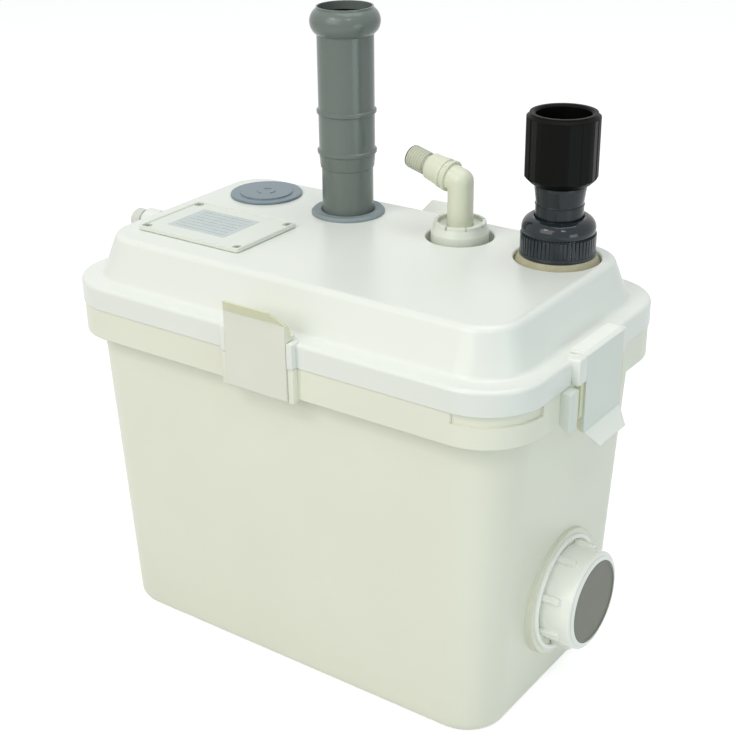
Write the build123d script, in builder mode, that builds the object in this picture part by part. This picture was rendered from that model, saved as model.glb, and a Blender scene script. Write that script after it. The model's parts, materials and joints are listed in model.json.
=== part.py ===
"""Wastewater lifting station: a lidded collecting tank with a pump, float switch and four lid ports.

Millimetres. X runs right along the long front wall, Y to the back, Z up.
The origin is the centre of the tank's base, on the floor.
"""

import os
from math import cos, radians, sin

from build123d import *

os.makedirs("parts", exist_ok=True)

# Fits that recur: a seat, a press fit, a running fit, and how far a rib reaches into its wall
seat_gap = 0.3
press_gap = 0.05
running_gap = 0.05
root_depth = 0.5
edge_break = 0.8

# Tank body: a moulded tub with drafted walls
tank_height = 270.0
body_length = 376.0
body_width = 212.0
body_corner = 38.0
draft_x = 14.0
draft_y = 6.0
base_corner = 32.0
base_round = 9.0
tank_wall = 3.5
tank_floor = 4.5

# Rim band round the mouth of the tank
band_depth = 24.0
band_overhang = 11.0
band_corner_trim = 4.0
band_wall = 3.0
rim_plate = 6.0
gasket_width = 8.0
gasket_thickness = 2.5
gasket_inset = 2.5
finger_slot_height = 8.0
finger_slot_side = 44.0
finger_slot_depth = 2.0

# Lid: flange, sloping skirt and flat plateau
lid_overlap = 1.0
flange_height = 18.0
flange_round = 3.0
skirt_setback = 14.0
foot_corner_trim = 8.0
skirt_foot_round = 4.0
skirt_rise = 32.0
skirt_lean_x = 11.0
skirt_lean_y = 13.0
plateau_corner = 28.0
plateau_round = 6.0
lid_wall = 3.2

# Snap clips that hook the lid flange to the rim band
clip_width = 54.0
clip_plate = 2.5
clip_stand_off = 3.0
clip_reach = 10.5
clip_far_tip = 2.0
clip_swing_gap = 1.0
clip_skirt = 12.7
clip_tab_rise = 11.5
clip_tab_out = 9.5
clip_tab_chamfer = 8.0
ear_width = 4.0
ear_proud = 5.0
ear_root = 2.0
ear_gap = 0.8
ear_margin = 1.0
ear_chamfer = 4.5

# Ports in the lid, set in from the plateau's back and side edges
port_setback = 37.1
plug_inset = 45.0
plug_to_inlet = 82.5
elbow_to_discharge = 82.0
discharge_inset = 37.5
port_wall = 3.0
cup_lip = 1.4

# Blanking plug
plug_bore_r = 25.4
plug_lap = 3.9
plug_flange_t = 2.8
plug_crown_in = 7.8
plug_step = 0.8
plug_depth = 18.0
plug_socket_extra = 4.0
plug_shell = 4.0
plug_ring_z = 8.0
plug_ring_d = 3.0

# Inlet pipe, nominal 40 push-fit, with its rubber grommet
pipe_r = 20.0
pipe_wall = 1.8
pipe_fit = 0.1
pipe_depth = 26.7
pipe_lead_in = 2.0
pipe_taper_low = 37.0
pipe_taper_step = 0.9
pipe_taper_length = 9.0
pipe_low_ring = 50.0
pipe_high_ring = 81.0
pipe_ring_half = 1.0
pipe_ring_proud = 1.4
pipe_bead_low = 139.0
pipe_bead_height = 19.0
pipe_bead_flat = 4.0
pipe_bead_proud = 4.95
pipe_bead_wall = 2.0
pipe_mouth = 1.5
pipe_socket_gap = 0.5
pipe_socket_wall = 1.1
pipe_socket_depth = 47.5
lip_seal_height = 9.0
lip_clear = 0.3
lip_mouth = 1.2
lip_waist = 1.8
lip_step = 1.0
grommet_wall = 7.1
grommet_lap = 1.6
grommet_t = 3.0
grommet_land = 4.0
grommet_groove = 7.5
grommet_groove_depth = 1.4
pipe_stop_lap = 2.5
pipe_stop_t = 3.0

# Hose elbow and its castellated union nut
spigot_r = 15.0
spigot_wall = 6.0
spigot_rise = 2.0
elbow_cup_gap = 3.9
elbow_cup_depth = 14.0
elbow_nut_wall = 6.4
elbow_nut_gap = 0.4
elbow_nut_foot = 1.5
elbow_nut_shoulder = 4.0
elbow_nut_lean = 2.0
elbow_web_t = 2.4
elbow_rim_h = 3.0
elbow_rim_wall = 3.0
elbow_rim_break = 0.6
elbow_notches = 8
elbow_notch = 1.4
elbow_washer_t = 1.5
elbow_washer_in = 0.5
elbow_collar_t = 2.4
elbow_collar_in = 0.4
elbow_tube_r = 9.75
elbow_wall = 3.75
elbow_bend = 42.0
arm_heading = 173.0
arm_rise = 12.7
arm_cone_flare = 1.05
arm_cone_length = 13.5
arm_collar_length = 15.5
arm_collar_wall = 2.2
arm_ring_proud = 0.8
arm_ring_length = 3.0
arm_ring_break = 0.5
tail_r = 8.2
tail_wall = 2.5
tail_barb = 0.5
tail_barb_pitch = 2.0
tail_root = 2.5
tail_plain = 5.5

# Discharge: threaded neck, union nut in its cup, tail piece and coupling nut
cup_depth = 20.0
cup_floor = 4.0
cup_gap = 4.55
cup_ring_gap = 0.4
cup_ring_skirt = 15.0
cup_ring_drop = 0.5
valve_neck_r = 21.6
valve_neck_wall = 6.6
valve_neck_top = 14.0
neck_hole_gap = 0.6
union_ring_in = 1.6
union_ring_w = 2.0
union_ring_t = 1.5
union_gap = 0.35
union_nut_wall = 5.0
union_foot_rise = 3.5
union_rim_proud = 0.6
union_rim_h = 1.6
union_skirt_top = 8.0
union_shoulder_z = 19.0
union_shoulder_in = 1.2
union_dome = 3.2
union_collar_wall = 2.05
union_nut_top = 31.0
union_ribs = 28
union_rib_low = 6.0
union_rib_height = 9.0
union_rib_gap = 2.6
union_rib_depth = 0.5
tail_collar_h = 4.0
tail_collar_in = 0.6
neck_r = 17.3
neck_wall = 3.8
neck_ring_z = 40.0
neck_ring_proud = 0.4
neck_waist_in = 0.3
neck_flare = 1.2
neck_flare_height = 4.0
neck_foot_gap = 2.0
head_shank_out = 0.3
head_collar_in = 0.3
head_collar_t = 3.7
face_gasket_t = 2.5
coupling_foot = 56.0
coupling_height = 49.5
coupling_thread_r = 19.5
coupling_relief = 0.5
coupling_relief_h = 8.0
coupling_lead = 1.5
coupling_wall = 6.3
coupling_web = 10.0
coupling_chamfer = 4.0
coupling_rim_h = 3.0
coupling_rim_in = 2.2
coupling_rim_land = 1.0
coupling_flats = 8
coupling_flat_in = 1.2
coupling_turn = 11.0
coupling_groove = 3.6
coupling_groove_depth = 1.5

# Check valve under the lid
valve_drop = 74.0
valve_socket_depth = 16.0
valve_socket_wall = 3.5
valve_socket_cone = 4.0
valve_stop_t = 2.0
valve_room_r = 24.0
valve_room_wall = 3.5
valve_room_h = 34.0
valve_flange_r = 30.0
valve_flange_t = 5.0
seat_bore_in = 0.5
seat_ring_t = 3.0
flap_lap = 2.0
flap_t = 3.0
flap_arm_w = 10.0
flap_arm_rise = 0.6
flap_pin_r = 1.5
flap_pin_out = 3.5
flap_pin_half = 19.0
flap_knuckle_r = 3.2
flap_knuckle_half = 7.0
flap_knuckle_rise = 0.2

# Riser pipe between pump and check valve
riser_r = 16.0
riser_wall = 3.5

# Side inlet on the right wall
side_z = 82.0
side_pad_in = 4.0
side_pad_t = 12.0
side_pad_margin = 11.5
side_inner_pad_margin = 2.0
side_spigot_r = 33.0
side_spigot_wall = 4.0
side_spigot_proud = 22.5
side_thread_gap = 0.4
side_flange_w = 9.0
side_flange_t = 3.0
side_seal_t = 2.5
side_nut_wall = 4.1
side_nut_proud = 24.0
side_nut_round = 2.0
side_nut_lugs = 8
lug_length = 15.0
lug_width = 5.0
lug_height = 3.0
side_cap_in = 2.5
side_cap_t = 4.2
side_cap_seat_depth = 3.2
side_cap_plug_depth = 13.0
side_cap_shell = 2.5

# Switch cover, its chamber in the lid and the cable gland
cover_inset = 67.0
cover_length = 99.0
cover_width = 71.0
cover_t = 2.2
cover_corner = 3.0
cover_bead = 2.0
cover_bead_h = 0.5
cover_gasket_t = 0.5
cover_gasket_in = 1.8
cover_screw_inset_x = 5.0
cover_screw_inset_y = 5.5
screw_r = 2.0
screw_clear = 0.2
screw_head_r = 3.6
screw_head_t = 1.2
screw_depth = 11.0
screw_pilot = 12.0
screw_slot = 4.4
screw_slot_w = 0.9
screw_slot_depth = 0.8
screw_boss_wall = 2.5
chamber_margin_x = 10.0
chamber_margin_y = 11.5
chamber_depth = 32.0
chamber_wall = 2.5
chamber_corner = 4.0
label_shift_x = -5.0
label_shift_y = 1.5
label_length = 57.0
label_width = 43.0
label_t = 0.3
gland_shift_y = 9.0
gland_drop = 12.0
gland_r = 7.0
gland_bore_r = 4.0
gland_hex_r = 8.6
gland_hex_t = 4.0
gland_thread_r = 6.4
gland_thread_length = 6.0
gland_shank = 10.0
gland_boss_proud = 2.0
gland_boss_margin = 2.0
gland_nut_r = 9.0
gland_nut_length = 10.0
gland_nut_round = 3.0
gland_seal_t = 3.0
gland_seal_lip = 0.5

# Float switch hanging from the chamber floor
stem_r = 6.0
stem_wall = 1.8
stem_foot = 62.0
stem_head_w = 5.0
stem_head_t = 4.0
stem_hole_gap = 0.1
stop_w = 4.0
stop_t = 5.0
low_stop_rise = 12.0
high_stop_drop = 88.0
float_r = 24.0
float_height = 45.0
float_gap = 0.5
float_fillet = 6.0
magnet_in = 1.0
magnet_w = 4.5
magnet_t = 6.0
board_margin = 8.5
board_t = 1.6
board_lift = 5.0
board_post_r = 2.0
board_post_in = 3.0
relay_length = 16.0
relay_width = 12.0
relay_height = 9.6
capacitor_r = 6.4
capacitor_height = 11.2

# Pump standing on the tank floor
pump_to_riser = 96.0
duct_offset = 52.0
strainer_r = 50.0
strainer_h = 25.0
strainer_wall = 3.0
strainer_slots = 12
strainer_slot_w = 7.0
strainer_slot_h = 12.0
suction_r = 18.0
volute_r = 62.0
volute_wall = 8.0
volute_floor = 8.5
volute_foot_round = 6.0
chamber_height = 32.0
duct_rise = 14.0
duct_r = 15.0
duct_wall = 4.5
duct_socket_wall = 4.0
duct_socket_depth = 20.0
duct_socket_rise = 23.0
duct_socket_foot = 11.0
pump_cover_t = 7.0
bearing_r = 13.0
bearing_h = 9.0
bearing_wall = 4.0
bearing_floor = 2.0
shaft_r = 6.0
shaft_hole_gap = 1.0
shaft_seal_w = 3.0
shaft_seal_t = 4.0
shaft_end = 1.0
impeller_gap = 12.0
impeller_lift = 12.0
impeller_vane_h = 12.0
impeller_plate_t = 2.5
impeller_hub_r = 10.0
impeller_vanes = 6
vane_root = 2.0
vane_t = 2.5
motor_r = 50.0
motor_wall = 3.0
stator_rise = 23.0
stator_height = 58.0
stator_bore_r = 24.3
air_gap = 0.5
winding_h = 9.0
winding_wall = 14.0
winding_gap = 3.0
motor_head = 32.0
motor_cap_h = 14.0
motor_cap_t = 3.0
motor_cap_lip = 5.0
motor_cap_round = 8.0
upper_bearing_drop = 9.0
pump_screws_count = 4
pump_screw_in = 4.0
pump_screw_r = 2.4
pump_screw_head_r = 3.6
pump_screw_head_t = 3.0
pump_screw_depth = 12.0

# Heights and half sizes of the tank and the lid
body_top = tank_height - band_depth
body_hx = body_length / 2
body_hy = body_width / 2
base_hx = body_hx - draft_x
base_hy = body_hy - draft_y
band_hx = body_hx + band_overhang
band_hy = body_hy + band_overhang
band_corner = body_corner + band_overhang - band_corner_trim
flange_hx = band_hx + lid_overlap
flange_hy = band_hy + lid_overlap
flange_corner = band_corner + lid_overlap
shoulder = tank_height + flange_height
foot_hx = flange_hx - skirt_setback
foot_hy = flange_hy - skirt_setback
foot_corner = flange_corner - foot_corner_trim
lid_top = shoulder + skirt_rise
plateau_hx = foot_hx - skirt_lean_x
plateau_hy = foot_hy - skirt_lean_y
under_lid = lid_top - lid_wall

# Places of the ports, the switch chamber, the gland and the pump
plug_flange_r = plug_bore_r + plug_lap
port_y = plateau_hy - port_setback
plug_x = plug_inset - plateau_hx
inlet_x = plug_x + plug_to_inlet
discharge_x = plateau_hx - discharge_inset
elbow_x = discharge_x - elbow_to_discharge
cover_x = cover_inset - plateau_hx
cover_y = (port_y - plug_flange_r - plateau_hy) / 2
gland_y = cover_y + gland_shift_y
gland_z = lid_top - gland_drop
gland_face = foot_hx + gland_boss_proud
pump_x = discharge_x - pump_to_riser
pump_y = port_y - duct_offset

# Radii that follow from a bore, a wall and a clearance
pipe_bore_r = pipe_r - pipe_wall
pipe_socket_r = pipe_r + pipe_socket_gap
pipe_body_r = pipe_socket_r + pipe_socket_wall
pipe_ring_r = pipe_body_r + pipe_ring_proud
pipe_bead_r = pipe_body_r + pipe_bead_proud
grommet_bore_r = pipe_r + pipe_fit
grommet_body_r = grommet_bore_r + grommet_wall
grommet_r = grommet_body_r + grommet_lap
pipe_stop_r = pipe_r - pipe_stop_lap
spigot_bore_r = spigot_r - spigot_wall
elbow_nut_r = spigot_r + elbow_nut_gap + elbow_nut_wall
elbow_cup_r = elbow_nut_r + elbow_cup_gap
valve_bore_r = valve_neck_r - valve_neck_wall
union_nut_r = valve_neck_r + union_gap + union_nut_wall
union_rim_r = union_nut_r + union_rim_proud
cup_r = union_nut_r + cup_gap
coupling_r = coupling_thread_r + coupling_wall
riser_bore_r = riser_r - riser_wall
seat_bore_r = riser_bore_r - seat_bore_in
side_spigot_bore_r = side_spigot_r - side_spigot_wall
side_flange_r = side_spigot_r + side_flange_w
side_nut_r = side_spigot_r + side_thread_gap + side_nut_wall
side_cap_r = side_spigot_r - side_cap_in
side_pad_x = body_hx - side_pad_in
side_inner_pad_x = side_pad_x - side_pad_t
chamber_length = cover_length - 2 * chamber_margin_x
chamber_width = cover_width - 2 * chamber_margin_y
cover_screw_dx = cover_length - 2 * cover_screw_inset_x
cover_screw_dy = cover_width - 2 * cover_screw_inset_y


def save(node, name):
    """Label a finished piece and write it to its own file."""
    node.part.label = name
    export_step(node.part, f"parts/{name}.step")


def at(x, y, z):
    """Level plane at a point."""
    return Plane(origin=(x, y, z))


def facing_x(x, y, z):
    """Plane at a point that looks along +X, with its own x along Y and its own y along Z."""
    return Plane(origin=(x, y, z), x_dir=(0, 1, 0), z_dir=(1, 0, 0))


def tube(origin, low, high, outer, inner):
    """Plain ring on a vertical axis through a point, between two heights."""
    with BuildPart() as ring:
        with BuildSketch(at(origin[0], origin[1], low)):
            Circle(outer)
            Circle(inner, mode=Mode.SUBTRACT)
        extrude(amount=high - low)
    return ring


def side_ring(low, high, outer, inner):
    """Plain ring on the side inlet's axis, between two places along X."""
    with BuildPart() as ring:
        with BuildSketch(facing_x(low, 0, side_z)):
            Circle(outer)
            Circle(inner, mode=Mode.SUBTRACT)
        extrude(amount=high - low)
    return ring


def frame_between(low, high, outer_x, outer_y, outer_r, inner_x, inner_y, inner_r):
    """Rounded rectangular ring between two heights, given half sizes."""
    with BuildPart() as frame:
        with BuildSketch(Plane.XY.offset(low)):
            RectangleRounded(2 * outer_x, 2 * outer_y, outer_r)
            RectangleRounded(2 * inner_x, 2 * inner_y, inner_r, mode=Mode.SUBTRACT)
        extrude(amount=high - low)
    return frame


# Where the four clips sit: the edge they hang from, outward direction and tab direction
clip_tip_x = flange_hx - clip_reach + clip_stand_off
clip_tip_y = flange_hy - clip_reach + clip_stand_off
clip_places = {
    "clip_front": ((0, -clip_tip_y, body_top - seat_gap), (0, -1, 0), (0, 0, 1)),
    "clip_back": ((0, clip_tip_y, body_top - seat_gap), (0, 1, 0), (0, 0, 1)),
    "clip_right": ((clip_tip_x, 0, shoulder + seat_gap), (1, 0, 0), (0, 0, -1)),
    "clip_left": ((-clip_tip_x, 0, shoulder + seat_gap), (-1, 0, 0), (0, 0, -1)),
}
ear_centre = clip_width / 2 + ear_gap + ear_width / 2


def clip_ears(low, high, wall_x, wall_y):
    """Pairs of guide ribs beside each clip, standing out from a wall, with a sloping foot."""
    ears = []
    ear_depth = ear_proud + ear_root
    for _, outward, _ in clip_places.values():
        along_x = outward[0] == 0
        centre = (wall_y if along_x else wall_x) - ear_root + ear_depth / 2
        for side in (-1, 1):
            if along_x:
                place = (side * ear_centre, outward[1] * centre, low)
                size = (ear_width, ear_depth)
            else:
                place = (outward[0] * centre, side * ear_centre, low)
                size = (ear_depth, ear_width)
            with BuildPart() as ear:
                with BuildSketch(at(*place)):
                    Rectangle(*size)
                extrude(amount=high - low)
                far = Axis((0, 0, 0), outward)
                tip_edges = ear.edges().filter_by(Axis.Z, reverse=True).group_by(far)[-1]
                chamfer(tip_edges.sort_by(Axis.Z)[0], ear_chamfer)
            ears.append(ear.part)
    return ears


# Tank: drafted tub, hollow rim band, gasket groove, clip ears and side inlet pads
with BuildPart() as tank_core:
    with BuildSketch(Plane.XY.offset(tank_floor)):
        RectangleRounded(2 * (base_hx - tank_wall), 2 * (base_hy - tank_wall), base_corner - tank_wall)
    with BuildSketch(Plane.XY.offset(body_top)):
        RectangleRounded(2 * (body_hx - tank_wall), 2 * (body_hy - tank_wall), body_corner - tank_wall)
    loft()
    fillet(tank_core.faces().sort_by(Axis.Z)[0].edges(), base_round - tank_wall)
    extrude(tank_core.faces().sort_by(Axis.Z)[-1], amount=band_depth)

groove_x = body_hx - tank_wall + gasket_inset
groove_y = body_hy - tank_wall + gasket_inset
groove_r = body_corner - tank_wall + gasket_inset
groove_far_x = groove_x + gasket_width
groove_far_y = groove_y + gasket_width

with BuildPart() as tank:
    with BuildSketch():
        RectangleRounded(2 * base_hx, 2 * base_hy, base_corner)
    with BuildSketch(Plane.XY.offset(body_top)):
        RectangleRounded(2 * body_hx, 2 * body_hy, body_corner)
    loft()
    fillet(tank.faces().sort_by(Axis.Z)[0].edges(), base_round)
    with BuildSketch(Plane.XY.offset(body_top)):
        RectangleRounded(2 * band_hx, 2 * band_hy, band_corner)
    extrude(amount=band_depth)
    with BuildSketch(Plane.XY.offset(body_top)):
        RectangleRounded(2 * (band_hx - band_wall), 2 * (band_hy - band_wall), band_corner - band_wall)
        RectangleRounded(2 * body_hx, 2 * body_hy, body_corner, mode=Mode.SUBTRACT)
    extrude(amount=band_depth - rim_plate, mode=Mode.SUBTRACT)
    for ear in clip_ears(body_top, tank_height - ear_margin, band_hx, band_hy):
        add(ear)
    with BuildSketch(facing_x(body_hx - draft_x, 0, side_z)):
        Circle(side_nut_r + side_pad_margin)
    extrude(amount=side_pad_x - (body_hx - draft_x))
    add(tank_core.part, mode=Mode.SUBTRACT)
    with BuildSketch(facing_x(side_inner_pad_x, 0, side_z)):
        Circle(side_flange_r + side_inner_pad_margin)
    extrude(amount=side_pad_x - side_inner_pad_x)
    with BuildSketch(facing_x(side_inner_pad_x, 0, side_z)):
        Circle(side_spigot_r + side_thread_gap)
    extrude(amount=side_pad_x, mode=Mode.SUBTRACT)
    with BuildSketch(Plane.XY.offset(tank_height)):
        RectangleRounded(2 * groove_far_x, 2 * groove_far_y, groove_r + gasket_width)
        RectangleRounded(2 * groove_x, 2 * groove_y, groove_r, mode=Mode.SUBTRACT)
    extrude(amount=-gasket_thickness, mode=Mode.SUBTRACT)
    with BuildSketch(Plane.XY.offset(tank_height - finger_slot_height)):
        with Locations((band_hx, -band_hy)):
            Rectangle(2 * finger_slot_side, 2 * finger_slot_side)
        slot_hx = band_hx - finger_slot_depth
        slot_hy = band_hy - finger_slot_depth
        RectangleRounded(2 * slot_hx, 2 * slot_hy, band_corner - finger_slot_depth, mode=Mode.SUBTRACT)
    extrude(amount=finger_slot_height, mode=Mode.SUBTRACT)
save(tank, "tank")

lid_gasket = frame_between(
    tank_height - gasket_thickness, tank_height,
    groove_far_x, groove_far_y, groove_r + gasket_width,
    groove_x, groove_y, groove_r,
)
save(lid_gasket, "lid_gasket")

# Lid: flange and drafted skirt with a flat plateau, hollow below, with sockets for every port
inner_foot = (2 * (foot_hx - lid_wall), 2 * (foot_hy - lid_wall), foot_corner - lid_wall)
inner_top = (2 * (plateau_hx - lid_wall), 2 * (plateau_hy - lid_wall), plateau_corner - lid_wall)
with BuildPart() as lid_core:
    with BuildSketch(Plane.XY.offset(tank_height)):
        RectangleRounded(*inner_foot)
    extrude(amount=flange_height)
    with BuildSketch(Plane.XY.offset(shoulder)):
        RectangleRounded(*inner_foot)
    with BuildSketch(Plane.XY.offset(under_lid)):
        RectangleRounded(*inner_top)
    loft()
    fillet(lid_core.faces().sort_by(Axis.Z)[-1].edges(), plateau_round - lid_wall)

chamber_floor = lid_top - chamber_depth
cup_bottom = lid_top - cup_depth
elbow_cup_bottom = lid_top - elbow_cup_depth
pipe_foot = lid_top - pipe_depth
plug_socket_depth = plug_depth + plug_socket_extra
sockets = [
    (plug_x, plug_bore_r, lid_top - plug_socket_depth),
    (inlet_x, grommet_body_r, pipe_foot - pipe_stop_t - seat_gap),
]

with BuildPart() as lid:
    with BuildSketch(Plane.XY.offset(tank_height)):
        RectangleRounded(2 * flange_hx, 2 * flange_hy, flange_corner)
    extrude(amount=flange_height)
    fillet(lid.faces().sort_by(Axis.Z)[-1].edges(), flange_round)
    with BuildSketch(Plane.XY.offset(shoulder)):
        RectangleRounded(2 * foot_hx, 2 * foot_hy, foot_corner)
    with BuildSketch(Plane.XY.offset(lid_top)):
        RectangleRounded(2 * plateau_hx, 2 * plateau_hy, plateau_corner)
    loft()
    fillet(lid.faces().sort_by(Axis.Z)[-1].edges(), plateau_round)
    ledges = lid.faces().filter_by(Plane.XY).sort_by(lambda ledge: abs(ledge.center().Z - shoulder))
    fillet(ledges[0].inner_wires()[0].edges(), skirt_foot_round)
    with BuildSketch(Plane.XY.offset(tank_height)):
        RectangleRounded(2 * (flange_hx - lid_wall), 2 * (flange_hy - lid_wall), flange_corner - lid_wall)
        RectangleRounded(2 * foot_hx, 2 * foot_hy, foot_corner, mode=Mode.SUBTRACT)
    extrude(amount=flange_height - lid_wall, mode=Mode.SUBTRACT)
    for ear in clip_ears(tank_height, shoulder - flange_round, flange_hx, flange_hy):
        add(ear)
    add(lid_core.part, mode=Mode.SUBTRACT)
    for socket_x, bore, low in sockets:
        with BuildSketch(at(socket_x, port_y, low)):
            Circle(bore + port_wall)
        extrude(amount=under_lid - low + root_depth)
    with BuildSketch(at(elbow_x, port_y, elbow_cup_bottom - port_wall)):
        Circle(elbow_cup_r + port_wall)
    extrude(amount=elbow_cup_depth + port_wall - lid_wall + root_depth)
    with BuildSketch(at(discharge_x, port_y, cup_bottom - cup_floor)):
        Circle(cup_r + port_wall)
    extrude(amount=cup_depth + cup_floor - lid_wall + root_depth)
    with BuildSketch(at(cover_x, cover_y, chamber_floor)):
        shell_length = chamber_length + 2 * chamber_wall
        shell_width = chamber_width + 2 * chamber_wall
        RectangleRounded(shell_length, shell_width, chamber_corner + chamber_wall)
    extrude(amount=under_lid - chamber_floor + root_depth)
    with BuildSketch(at(cover_x, cover_y, under_lid - screw_pilot)):
        with GridLocations(cover_screw_dx, cover_screw_dy, 2, 2):
            Circle(screw_r + screw_boss_wall)
    extrude(amount=screw_pilot + root_depth)
    with BuildSketch(Plane(origin=(-gland_face, gland_y, gland_z), z_dir=(1, 0, 0))):
        Circle(gland_nut_r + gland_boss_margin)
    extrude(amount=skirt_lean_x + gland_boss_proud)
    with BuildSketch(at(plug_x, port_y, lid_top)):
        Circle(plug_bore_r)
    extrude(amount=-plug_socket_depth, mode=Mode.SUBTRACT)
    with BuildSketch(at(inlet_x, port_y, lid_top)):
        Circle(grommet_body_r)
    extrude(amount=-pipe_depth - seat_gap, mode=Mode.SUBTRACT)
    with BuildSketch(at(inlet_x, port_y, lid_top)):
        Circle(pipe_stop_r)
    extrude(amount=-pipe_depth - pipe_stop_t - seat_gap, mode=Mode.SUBTRACT)
    with BuildSketch(at(elbow_x, port_y, elbow_cup_bottom)):
        Circle(elbow_cup_r)
        Circle(spigot_r, mode=Mode.SUBTRACT)
    extrude(amount=elbow_cup_depth, mode=Mode.SUBTRACT)
    with BuildSketch(at(elbow_x, port_y, under_lid)):
        Circle(spigot_r)
    extrude(amount=lid_wall + spigot_rise)
    with BuildSketch(at(elbow_x, port_y, elbow_cup_bottom - port_wall)):
        Circle(spigot_bore_r)
    extrude(amount=elbow_cup_depth + port_wall + spigot_rise, mode=Mode.SUBTRACT)
    with BuildSketch(at(discharge_x, port_y, cup_bottom)):
        Circle(cup_r)
    extrude(amount=cup_depth, mode=Mode.SUBTRACT)
    with BuildSketch(at(discharge_x, port_y, cup_bottom)):
        Circle(valve_neck_r + neck_hole_gap)
    extrude(amount=-cup_floor, mode=Mode.SUBTRACT)
    with BuildSketch(at(cover_x, cover_y, chamber_floor + chamber_wall)):
        RectangleRounded(chamber_length, chamber_width, chamber_corner)
    extrude(amount=chamber_depth, mode=Mode.SUBTRACT)
    with BuildSketch(at(cover_x, cover_y, chamber_floor)):
        Circle(stem_r + stem_hole_gap)
    extrude(amount=chamber_wall, mode=Mode.SUBTRACT)
    with BuildSketch(at(cover_x, cover_y, lid_top)):
        with GridLocations(cover_screw_dx, cover_screw_dy, 2, 2):
            Circle(screw_r + press_gap)
    extrude(amount=-screw_pilot, mode=Mode.SUBTRACT)
    with BuildSketch(Plane(origin=(-gland_face, gland_y, gland_z), z_dir=(1, 0, 0))):
        Circle(gland_r)
    extrude(amount=gland_face + cover_x, mode=Mode.SUBTRACT)
    for cup_x, cup_radius in ((elbow_x, elbow_cup_r), (discharge_x, cup_r)):
        mouth = Vector(cup_x + cup_radius, port_y, lid_top)
        fillet(lid.edges().filter_by(GeomType.CIRCLE).sort_by_distance(mouth)[0], cup_lip)
save(lid, "lid")


# Snap clips: one moulding used four times, hung by its near hook and pulled open by its tab
clip_far = flange_height + band_depth + seat_gap + clip_swing_gap
clip_outer = clip_reach + clip_plate
clip_bend = clip_far + clip_skirt
clip_tip = clip_bend + clip_tab_rise
for clip_name, (origin, outward, along) in clip_places.items():
    across = Vector(outward).cross(Vector(along))
    with BuildPart() as clip:
        with BuildSketch(Plane(origin=origin, x_dir=outward, z_dir=across)):
            with BuildLine():
                Polyline(
                    (0, 0),
                    (clip_reach, 0),
                    (clip_reach, clip_far),
                    (clip_far_tip, clip_far),
                    (clip_far_tip, clip_far + clip_plate),
                    (clip_reach, clip_far + clip_plate),
                    (clip_reach, clip_bend),
                    (clip_reach + clip_tab_out, clip_tip),
                    (clip_outer + clip_tab_out, clip_tip),
                    (clip_outer, clip_bend),
                    (clip_outer, 0),
                    (clip_outer - clip_plate, -clip_plate),
                    (0, -clip_plate),
                    close=True,
                )
            make_face()
        extrude(amount=clip_width / 2, both=True)
        with BuildSketch(Plane(origin=origin, x_dir=across, z_dir=-Vector(outward))):
            for side in (-1, 1):
                edge = side * clip_width / 2
                with BuildLine():
                    Polyline(
                        (edge, clip_bend),
                        (edge, clip_tip),
                        (edge - side * clip_tab_chamfer, clip_tip),
                        close=True,
                    )
                make_face()
        extrude(amount=-(clip_outer + clip_tab_out), mode=Mode.SUBTRACT)
    save(clip, clip_name)


def upright(x, y, z=0.0):
    """Vertical plane through a port's axis, with its own y up, for a profile that is turned."""
    return Plane(origin=(x, y, z), x_dir=(1, 0, 0), z_dir=(0, -1, 0))


def turned(x, y, z, profile):
    """Ring or spindle turned about a vertical axis from (radius, height) points above z."""
    with BuildPart() as spindle:
        with BuildSketch(upright(x, y, z)):
            with BuildLine():
                Polyline(*profile, close=True)
            make_face()
        revolve(axis=Axis((x, y, 0), (0, 0, 1)))
    return spindle


# Blanking plug for the spare inlet: stepped crown over a hollow skirt with a sealing ring
plug_body_r = plug_bore_r - pipe_fit
plug_crown_r = plug_flange_r - plug_crown_in
plug_rim_top = plug_flange_t - plug_step
plug_groove_r = plug_body_r - plug_ring_d / 2
with BuildPart() as blanking_plug:
    with BuildSketch(upright(plug_x, port_y, lid_top)):
        with BuildLine():
            Polyline(
                (0, plug_flange_t),
                (plug_crown_r, plug_flange_t),
                (plug_crown_r, plug_rim_top),
                (plug_flange_r, plug_rim_top),
                (plug_flange_r, seat_gap),
                (plug_body_r, seat_gap),
                (plug_body_r, plug_ring_d / 2 - plug_ring_z),
                (plug_groove_r, plug_ring_d / 2 - plug_ring_z),
                (plug_groove_r, -plug_ring_d / 2 - plug_ring_z),
                (plug_body_r, -plug_ring_d / 2 - plug_ring_z),
                (plug_body_r, -plug_depth),
                (plug_body_r - plug_shell, -plug_depth),
                (plug_body_r - plug_shell, seat_gap),
                (0, seat_gap),
                close=True,
            )
        make_face()
    revolve(axis=Axis((plug_x, port_y, 0), (0, 0, 1)))
    rim = Vector(plug_x + plug_flange_r, port_y, lid_top + plug_rim_top)
    fillet(blanking_plug.edges().filter_by(GeomType.CIRCLE).sort_by_distance(rim)[0], plug_step)
save(blanking_plug, "blanking_plug")

plug_seal = tube(
    (plug_x, port_y), lid_top - plug_ring_z - plug_ring_d / 2, lid_top - plug_ring_z + plug_ring_d / 2,
    plug_body_r + pipe_fit / 2, plug_groove_r,
)
save(plug_seal, "plug_seal")

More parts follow.
